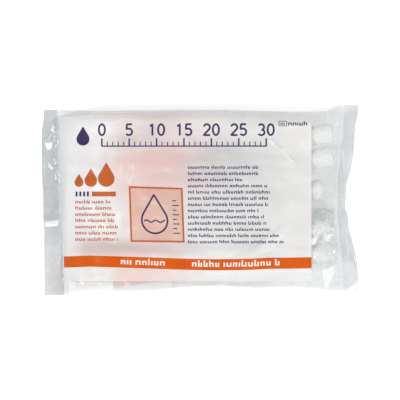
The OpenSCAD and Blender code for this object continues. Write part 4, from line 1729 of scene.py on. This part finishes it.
@dataclass
class Print:
    """Plain print on the panel: marks that stand for lines of print, a scale and drops.

    Heights over the film are in metres. All else is in millimetres, and the drop, the level line and
    the ticks in the square are shares of its side where their names say so.
    """

    shape: FilmShape
    bag: FilmBag
    above: float = 0.13 * MM
    over_tint: float = 0.03 * MM
    instructions: MarkRows = MarkRows(-6, 16.2, 1.8, 10,
                                      (29, 31, 22, 34, 36, 34, 34, 30, 33, 34, 35, 40, 43))
    contents: MarkRows = MarkRows(-62.3, -1.1, 1.9, 40, (-43.5, -42, -42, -42, -41, -41, -40.5))
    band_lines: tuple = (MarkLine(-39.5, -17.5, -31.6, 3.3, 70), MarkLine(-4, 42, -31.6, 3.3, 73))
    low_lines: tuple = (MarkLine(-8.5, -5, -42.1, 1.1, 91), MarkLine(4, 7, -42.1, 1.1, 92),
                        MarkLine(14, 26, -42.1, 1.3, 93))
    corner_frame: tuple = ((39.4, 37), (43.2, 37), (43.2, 39.3), (39.4, 39.3), (39.4, 37))
    corner_line: float = 0.3
    corner_lines: tuple = (MarkLine(40, 43.1, 38, 1.1, 94), MarkLine(44, 54, 37.9, 2.3, 95))
    heading_drop: tuple = (-58.5, 27.2, 9.6)
    scale_left: float = -49.0
    scale_right: float = 33.0
    scale_y: float = 27.2
    scale_line: float = 0.6
    scale_overhang: float = 0.37
    long_tick: tuple = (0.75, 3.6)
    short_tick: tuple = (0.45, 1.9)
    number_rise: float = 5.0
    number_height: float = 5.8
    number_stroke: float = 0.95
    drop_rows: tuple = ((-60.5, 6.5), (-54.5, 9.2), (-46.8, 12.2))
    drops_y: float = 6.6
    bar: tuple = (-54, 1.8, 12, 2.4)
    dash: tuple = (-62.2, 1.8, 1.0, 2.4)
    dash_pitch: float = 1.9
    dashes: int = 4
    square: tuple = (-36.0, -21.6, 28.5)
    square_shifts: tuple = ((1.4, 0.7), (-0.15, 0.35), (0.45, 0.0), (-1.2, -0.85))
    frame_w: float = 0.9
    motif_x_share: float = 0.46
    motif_y_share: float = 0.16
    motif_height_share: float = 0.7
    motif_line: float = 0.9
    level_share: float = 0.38
    level_line: float = 0.7
    level_reach: float = 5.6
    level_step: float = 0.7
    level_wave: tuple = (0.55, 0.9)
    level_points: int = 17
    ticks_x_share: float = 0.8
    tick_pitch: float = 2.4
    tick_lengths: tuple = (3.4, 2.0)
    tick_line: float = 0.5
    ticks: int = 8

    def build(self) -> None:
        """Prints everything."""
        self.lines("instruction_marks", PURPLE_INK, self.instructions.lines())
        self.lines("content_marks", RED_INK, self.contents.lines())
        band = self.drawn(self.band_lines)
        band.places = [(x, y + rise_at(BAND_RISES, x)) for x, y in band.places]
        self.lay(band, "band_marks", PALE_INK)
        self.lines("low_marks", GREY_INK, self.low_lines)
        self.corner_marks()
        self.heading()
        self.drops()
        self.square_print()

    def lay(self, sheet: FlatMesh, name: str, finish: Finish, lift: float = 0.0) -> None:
        """Lays print on the film and bakes its transform in.

        Args:
            sheet: The flat print.
            name: Name of the piece.
            finish: Ink.
            lift: Height over other print, in metres.
        """
        piece = sheet.object(name)
        self.shape.drape(piece, self.above + lift)
        dress(piece, printed(finish))
        self.bag.bend(piece)
        report(piece)

    @staticmethod
    def drawn(lines: Iterable[MarkLine]) -> FlatMesh:
        """Draws lines of marks.

        Args:
            lines: Lines to draw.

        Returns:
            The flat print.
        """
        sheet = FlatMesh()
        for line in lines:
            line.draw(sheet)
        return sheet

    def lines(self, name: str, finish: Finish, lines: Iterable[MarkLine]) -> None:
        """Prints lines of marks.

        Args:
            name: Name of the piece.
            finish: Ink.
            lines: Lines to print.
        """
        self.lay(self.drawn(lines), name, finish)

    def corner_marks(self) -> None:
        """A small framed mark and a short line of marks at the panel's upper right."""
        sheet = FlatMesh()
        sheet.ribbon(list(self.corner_frame), self.corner_line)
        for line in self.corner_lines:
            line.draw(sheet)
        self.lay(sheet, "corner_marks", PURPLE_INK)

    def heading(self) -> None:
        """A purple scale from 0 to 30, with a drop before it."""
        sheet = FlatMesh()
        sheet.drop(*self.heading_drop)
        wide = self.scale_right - self.scale_left
        unit = wide / SCALE_UNITS
        for k in range(SCALE_UNITS + 1):
            x = self.scale_left + unit * k
            numbered_tick = k % SCALE_GROUP == 0
            tick_wide, tick_tall = self.long_tick if numbered_tick else self.short_tick
            sheet.block(x - tick_wide / 2, self.scale_y, tick_wide, tick_tall)
            if numbered_tick:
                for stroke in number_strokes(k, x, self.scale_y + self.number_rise, self.number_height):
                    sheet.ribbon(stroke, self.number_stroke)
        sheet.block(self.scale_left - self.scale_overhang, self.scale_y - self.scale_line,
                    wide + self.long_tick[0], self.scale_line)
        self.lay(sheet, "heading_scale", PURPLE_INK)

    def drops(self) -> None:
        """Three orange drops of growing size over a short orange bar, with purple dashes beside it."""
        sheet = FlatMesh()
        for x, height in self.drop_rows:
            sheet.drop(x, self.drops_y, height)
        sheet.block(*self.bar)
        self.lay(sheet, "orange_drops", RED_INK)
        dashes = FlatMesh()
        left, low, wide, tall = self.dash
        for k in range(self.dashes):
            dashes.block(left + self.dash_pitch * k, low, wide, tall)
        self.lay(dashes, "purple_dashes", PURPLE_INK)

    def askew(self, sheet: FlatMesh) -> FlatMesh:
        """Moves the print in the square with its corners, which the rumpled film shifts.

        Args:
            sheet: The flat print.

        Returns:
            The same print, moved.
        """
        x0, y0, side = self.square
        moved = []
        for x, y in sheet.places:
            u, v = (x - x0) / side, (y - y0) / side
            parts = ((1 - u) * (1 - v), u * (1 - v), (1 - u) * v, u * v)
            shift = [sum(part * corner[a] for part, corner in zip(parts, self.square_shifts))
                     for a in (0, 1)]
            moved.append((x + shift[0], y + shift[1]))
        sheet.places = moved
        return sheet

    def square_print(self) -> None:
        """Orange outlined square with a pale tint, a drop, a level line and ticks."""
        x0, y0, side = self.square
        line = self.frame_w
        tint = FlatMesh()
        tint.block(x0, y0, side, side)
        self.lay(self.askew(tint), "square_tint", TINT_INK)
        outlined = FlatMesh()
        for left, low, wide, tall in ((x0, y0, side, line), (x0, y0 + side - line, side, line),
                                      (x0, y0 + line, line, side - 2 * line),
                                      (x0 + side - line, y0 + line, line, side - 2 * line)):
            outlined.block(left, low, wide, tall)
        self.lay(self.askew(outlined), "square_frame", RED_INK, self.over_tint)
        motif = FlatMesh()
        middle, foot = x0 + self.motif_x_share * side, y0 + self.motif_y_share * side
        motif.ribbon(drop_outline(middle, foot, self.motif_height_share * side), self.motif_line)
        level, (swing, turn) = y0 + self.level_share * side, self.level_wave
        left = middle - self.level_reach
        motif.ribbon([(left + self.level_step * k, level + swing * math.sin(turn * k))
                      for k in range(self.level_points)], self.level_line)
        for k in range(self.ticks):
            motif.block(x0 + self.ticks_x_share * side, foot + self.tick_pitch * k,
                        self.tick_lengths[k % 2], self.tick_line)
        self.lay(self.askew(motif), "square_drop", PURPLE_INK, self.over_tint)


@dataclass
class BarrelScale:
    """The scale on each barrel: units of 0.01 ml with plain numbers, printed round the tube.

    Sizes are in millimetres. The scale is drawn flat, X along the barrel and Y round it.
    """

    dose: float = 10
    bore_d: float = 3.2
    barrel_r: float = 2.6
    zero_x: float = -43.6
    above: float = 0.03
    step: float = 0.4
    tick_low: float = -1.9
    tick_line: float = 0.2
    tick_lengths: tuple = (1.9, 1.1)
    number_height: float = 1.5
    number_y: float = 1.5
    number_stroke: float = 0.26

    def build(self) -> None:
        """Draws the scale flat once, and wraps a copy round each barrel."""
        sheet = self.flat()
        for seat in seats():
            self.wrapped(sheet, seat)

    def flat(self) -> FlatMesh:
        """Draws the scale flat: along the barrel from the flange, and round it.

        Returns:
            The flat print.
        """
        pitch = self.dose / (math.pi * self.bore_d ** 2 / 4)
        sheet = FlatMesh(step=self.step)
        for k in range(SCALE_UNITS + 1):
            x = self.zero_x + pitch * k
            long, short = self.tick_lengths
            sheet.block(x - self.tick_line / 2, self.tick_low, self.tick_line,
                        short if k % SCALE_GROUP else long)
            if k and k % SCALE_GROUP == 0:
                high = x + self.number_height / 2
                for stroke in number_strokes(k, 0, 0, self.number_height):
                    sheet.ribbon([(high - py, self.number_y + px) for px, py in stroke],
                                 self.number_stroke)
        return sheet

    def wrapped(self, sheet: FlatMesh, seat: Seat) -> None:
        """Wraps a copy round one barrel.

        Args:
            sheet: The flat scale.
            seat: Where the syringe lies.
        """
        way = seat.way.normalized()
        side = Vector((0, 0, 1)).cross(way).normalized()
        up = way.cross(side)
        piece = sheet.object("barrel_scale_" + seat.number)
        radius = (self.barrel_r + self.above) * MM
        for vertex in piece.data.vertices:
            along, turn = vertex.co.x, vertex.co.y / radius
            vertex.co = seat.base + way * along + (side * math.sin(turn) + up * math.cos(turn)) * radius
        dress(piece, printed(SCALE_INK))
        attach(piece, Body.BAG.value)
        report(piece)


@dataclass
class Syringes:
    """The ten syringes, which keep their CAD shapes and get their finishes."""

    materials: dict

    def build(self) -> None:
        """Dresses every syringe node by its slot, and prints the barrels."""
        for row in frame["record"]["subparts"]:
            node = frame["nodes"][row["node"]]
            slot = Slot(row["material_slot"])
            if not node.hide_render:
                dress(node, self.materials[slot])
                log.info("%s: %s", node.name, slot.value)
        BarrelScale().build()


@dataclass
class Studio:
    """Floor, lamps, world and camera, in metres and watts."""

    view_width: float = 200 * MM
    lens: float = 600.0
    focus_z: float = 12 * MM
    clip_end: float = 10
    floor_side: float = 3
    floor_z: float = -0.02 * MM
    floor_grey: float = 0.9
    floor_glow: float = 0.42
    world_light: float = 0.5
    lamps: tuple = (("key_lamp", (-0.6, -0.35, 0.95), 0.18, 4.8),
                    ("front_lamp", (0.3, -0.75, 0.85), 0.14, 2.2),
                    ("side_lamp", (0.8, 0.1, 0.8), 0.14, 2.3),
                    ("back_lamp", (-0.15, 0.65, 0.9), 0.12, 1.3))

    def build(self) -> None:
        """Sets the studio up."""
        self.floor()
        for lamp in self.lamps:
            self.lamp(*lamp)
        self.world()
        self.camera()

    @staticmethod
    def looked_at(sheet: Sheet) -> bpy.types.NodeSocket:
        """Mask of the rays by which a surface is seen, straight or in a reflection or behind glass.

        Args:
            sheet: The tree that asks.

        Returns:
            1 for those rays, 0 for light.
        """
        path = sheet.node("ShaderNodeLightPath")
        seen = sheet.maths("MAXIMUM", path.outputs["Is Camera Ray"], path.outputs["Is Glossy Ray"])
        return sheet.maths("MAXIMUM", seen, path.outputs["Is Transmission Ray"])

    def floor(self) -> None:
        """Pale floor that is white to the camera and still takes the object's shadow."""
        deselect_all()
        bpy.ops.mesh.primitive_plane_add(size=self.floor_side, location=(0, 0, self.floor_z))
        floor = bpy.context.active_object
        floor.name = "floor"
        made = bpy.data.materials.new("floor")
        made.use_nodes = True
        sheet = Sheet(made.node_tree)
        matt = sheet.node("ShaderNodeBsdfDiffuse", in_color=(*[self.floor_grey] * 3, 1))
        glow = sheet.node("ShaderNodeEmission", in_strength=self.floor_glow)
        none = sheet.node("ShaderNodeEmission", in_strength=0)
        pick = sheet.node("ShaderNodeMixShader")
        sheet.link(self.looked_at(sheet), pick.inputs[0])
        sheet.link(none.outputs[0], pick.inputs[1])
        sheet.link(glow.outputs[0], pick.inputs[2])
        total = sheet.node("ShaderNodeAddShader")
        sheet.link(matt.outputs[0], total.inputs[0])
        sheet.link(pick.outputs[0], total.inputs[1])
        output = sheet.node("ShaderNodeOutputMaterial")
        sheet.link(total.outputs[0], output.inputs["Surface"])
        dress(floor, made)

    def lamp(self, name: str, place: tuple, size: float, power: float) -> None:
        """Adds a square lamp that faces the pack.

        Args:
            name: Name of the lamp.
            place: Where it stands.
            size: Its side, in metres.
            power: Its power, in watts.
        """
        deselect_all()
        bpy.ops.object.light_add(type="AREA", location=place)
        lamp = bpy.context.active_object
        lamp.name = name
        lamp.data.size = size
        lamp.data.energy = power
        lamp.visible_camera = False
        lamp.rotation_euler = (-Vector(place)).to_track_quat("-Z", "Y").to_euler()

    def world(self) -> None:
        """Even light all round, and white where the camera sees past the floor."""
        world = bpy.data.worlds.new("studio")
        world.use_nodes = True
        bpy.context.scene.world = world
        sheet = Sheet(world.node_tree)
        back = sheet.node("ShaderNodeBackground")
        sheet.link(sheet.ranged(self.looked_at(sheet), self.world_light, 1.0), back.inputs["Strength"])
        output = sheet.node("ShaderNodeOutputWorld")
        sheet.link(back.outputs[0], output.inputs["Surface"])

    def camera(self) -> None:
        """Camera straight above the pack."""
        deselect_all()
        bpy.ops.object.camera_add(rotation=(0, 0, 0))
        camera = bpy.context.active_object
        camera.data.lens = self.lens
        reach = self.view_width * self.lens / camera.data.sensor_width
        camera.location = (0, 0, self.focus_z + reach)
        camera.data.clip_end = self.clip_end
        bpy.context.scene.camera = camera


def main() -> None:
    """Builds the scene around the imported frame."""
    logging.basicConfig(level=logging.INFO, format="%(name)s %(message)s")
    materials = {slot: finish.material() for slot, finish in FINISHES.items()}
    low, high = CAD_BOX
    outline = PackOutline((high.x - low.x) / 2, (high.y - low.y) / 2)
    shape = FilmShape(outline)
    bag = FilmBag(shape, materials)
    bag.build()
    Print(shape, bag).build()
    Syringes(materials).build()
    Studio().build()
    bpy.context.scene.view_settings.view_transform = "Standard"


if __name__ == "__main__":
    main()
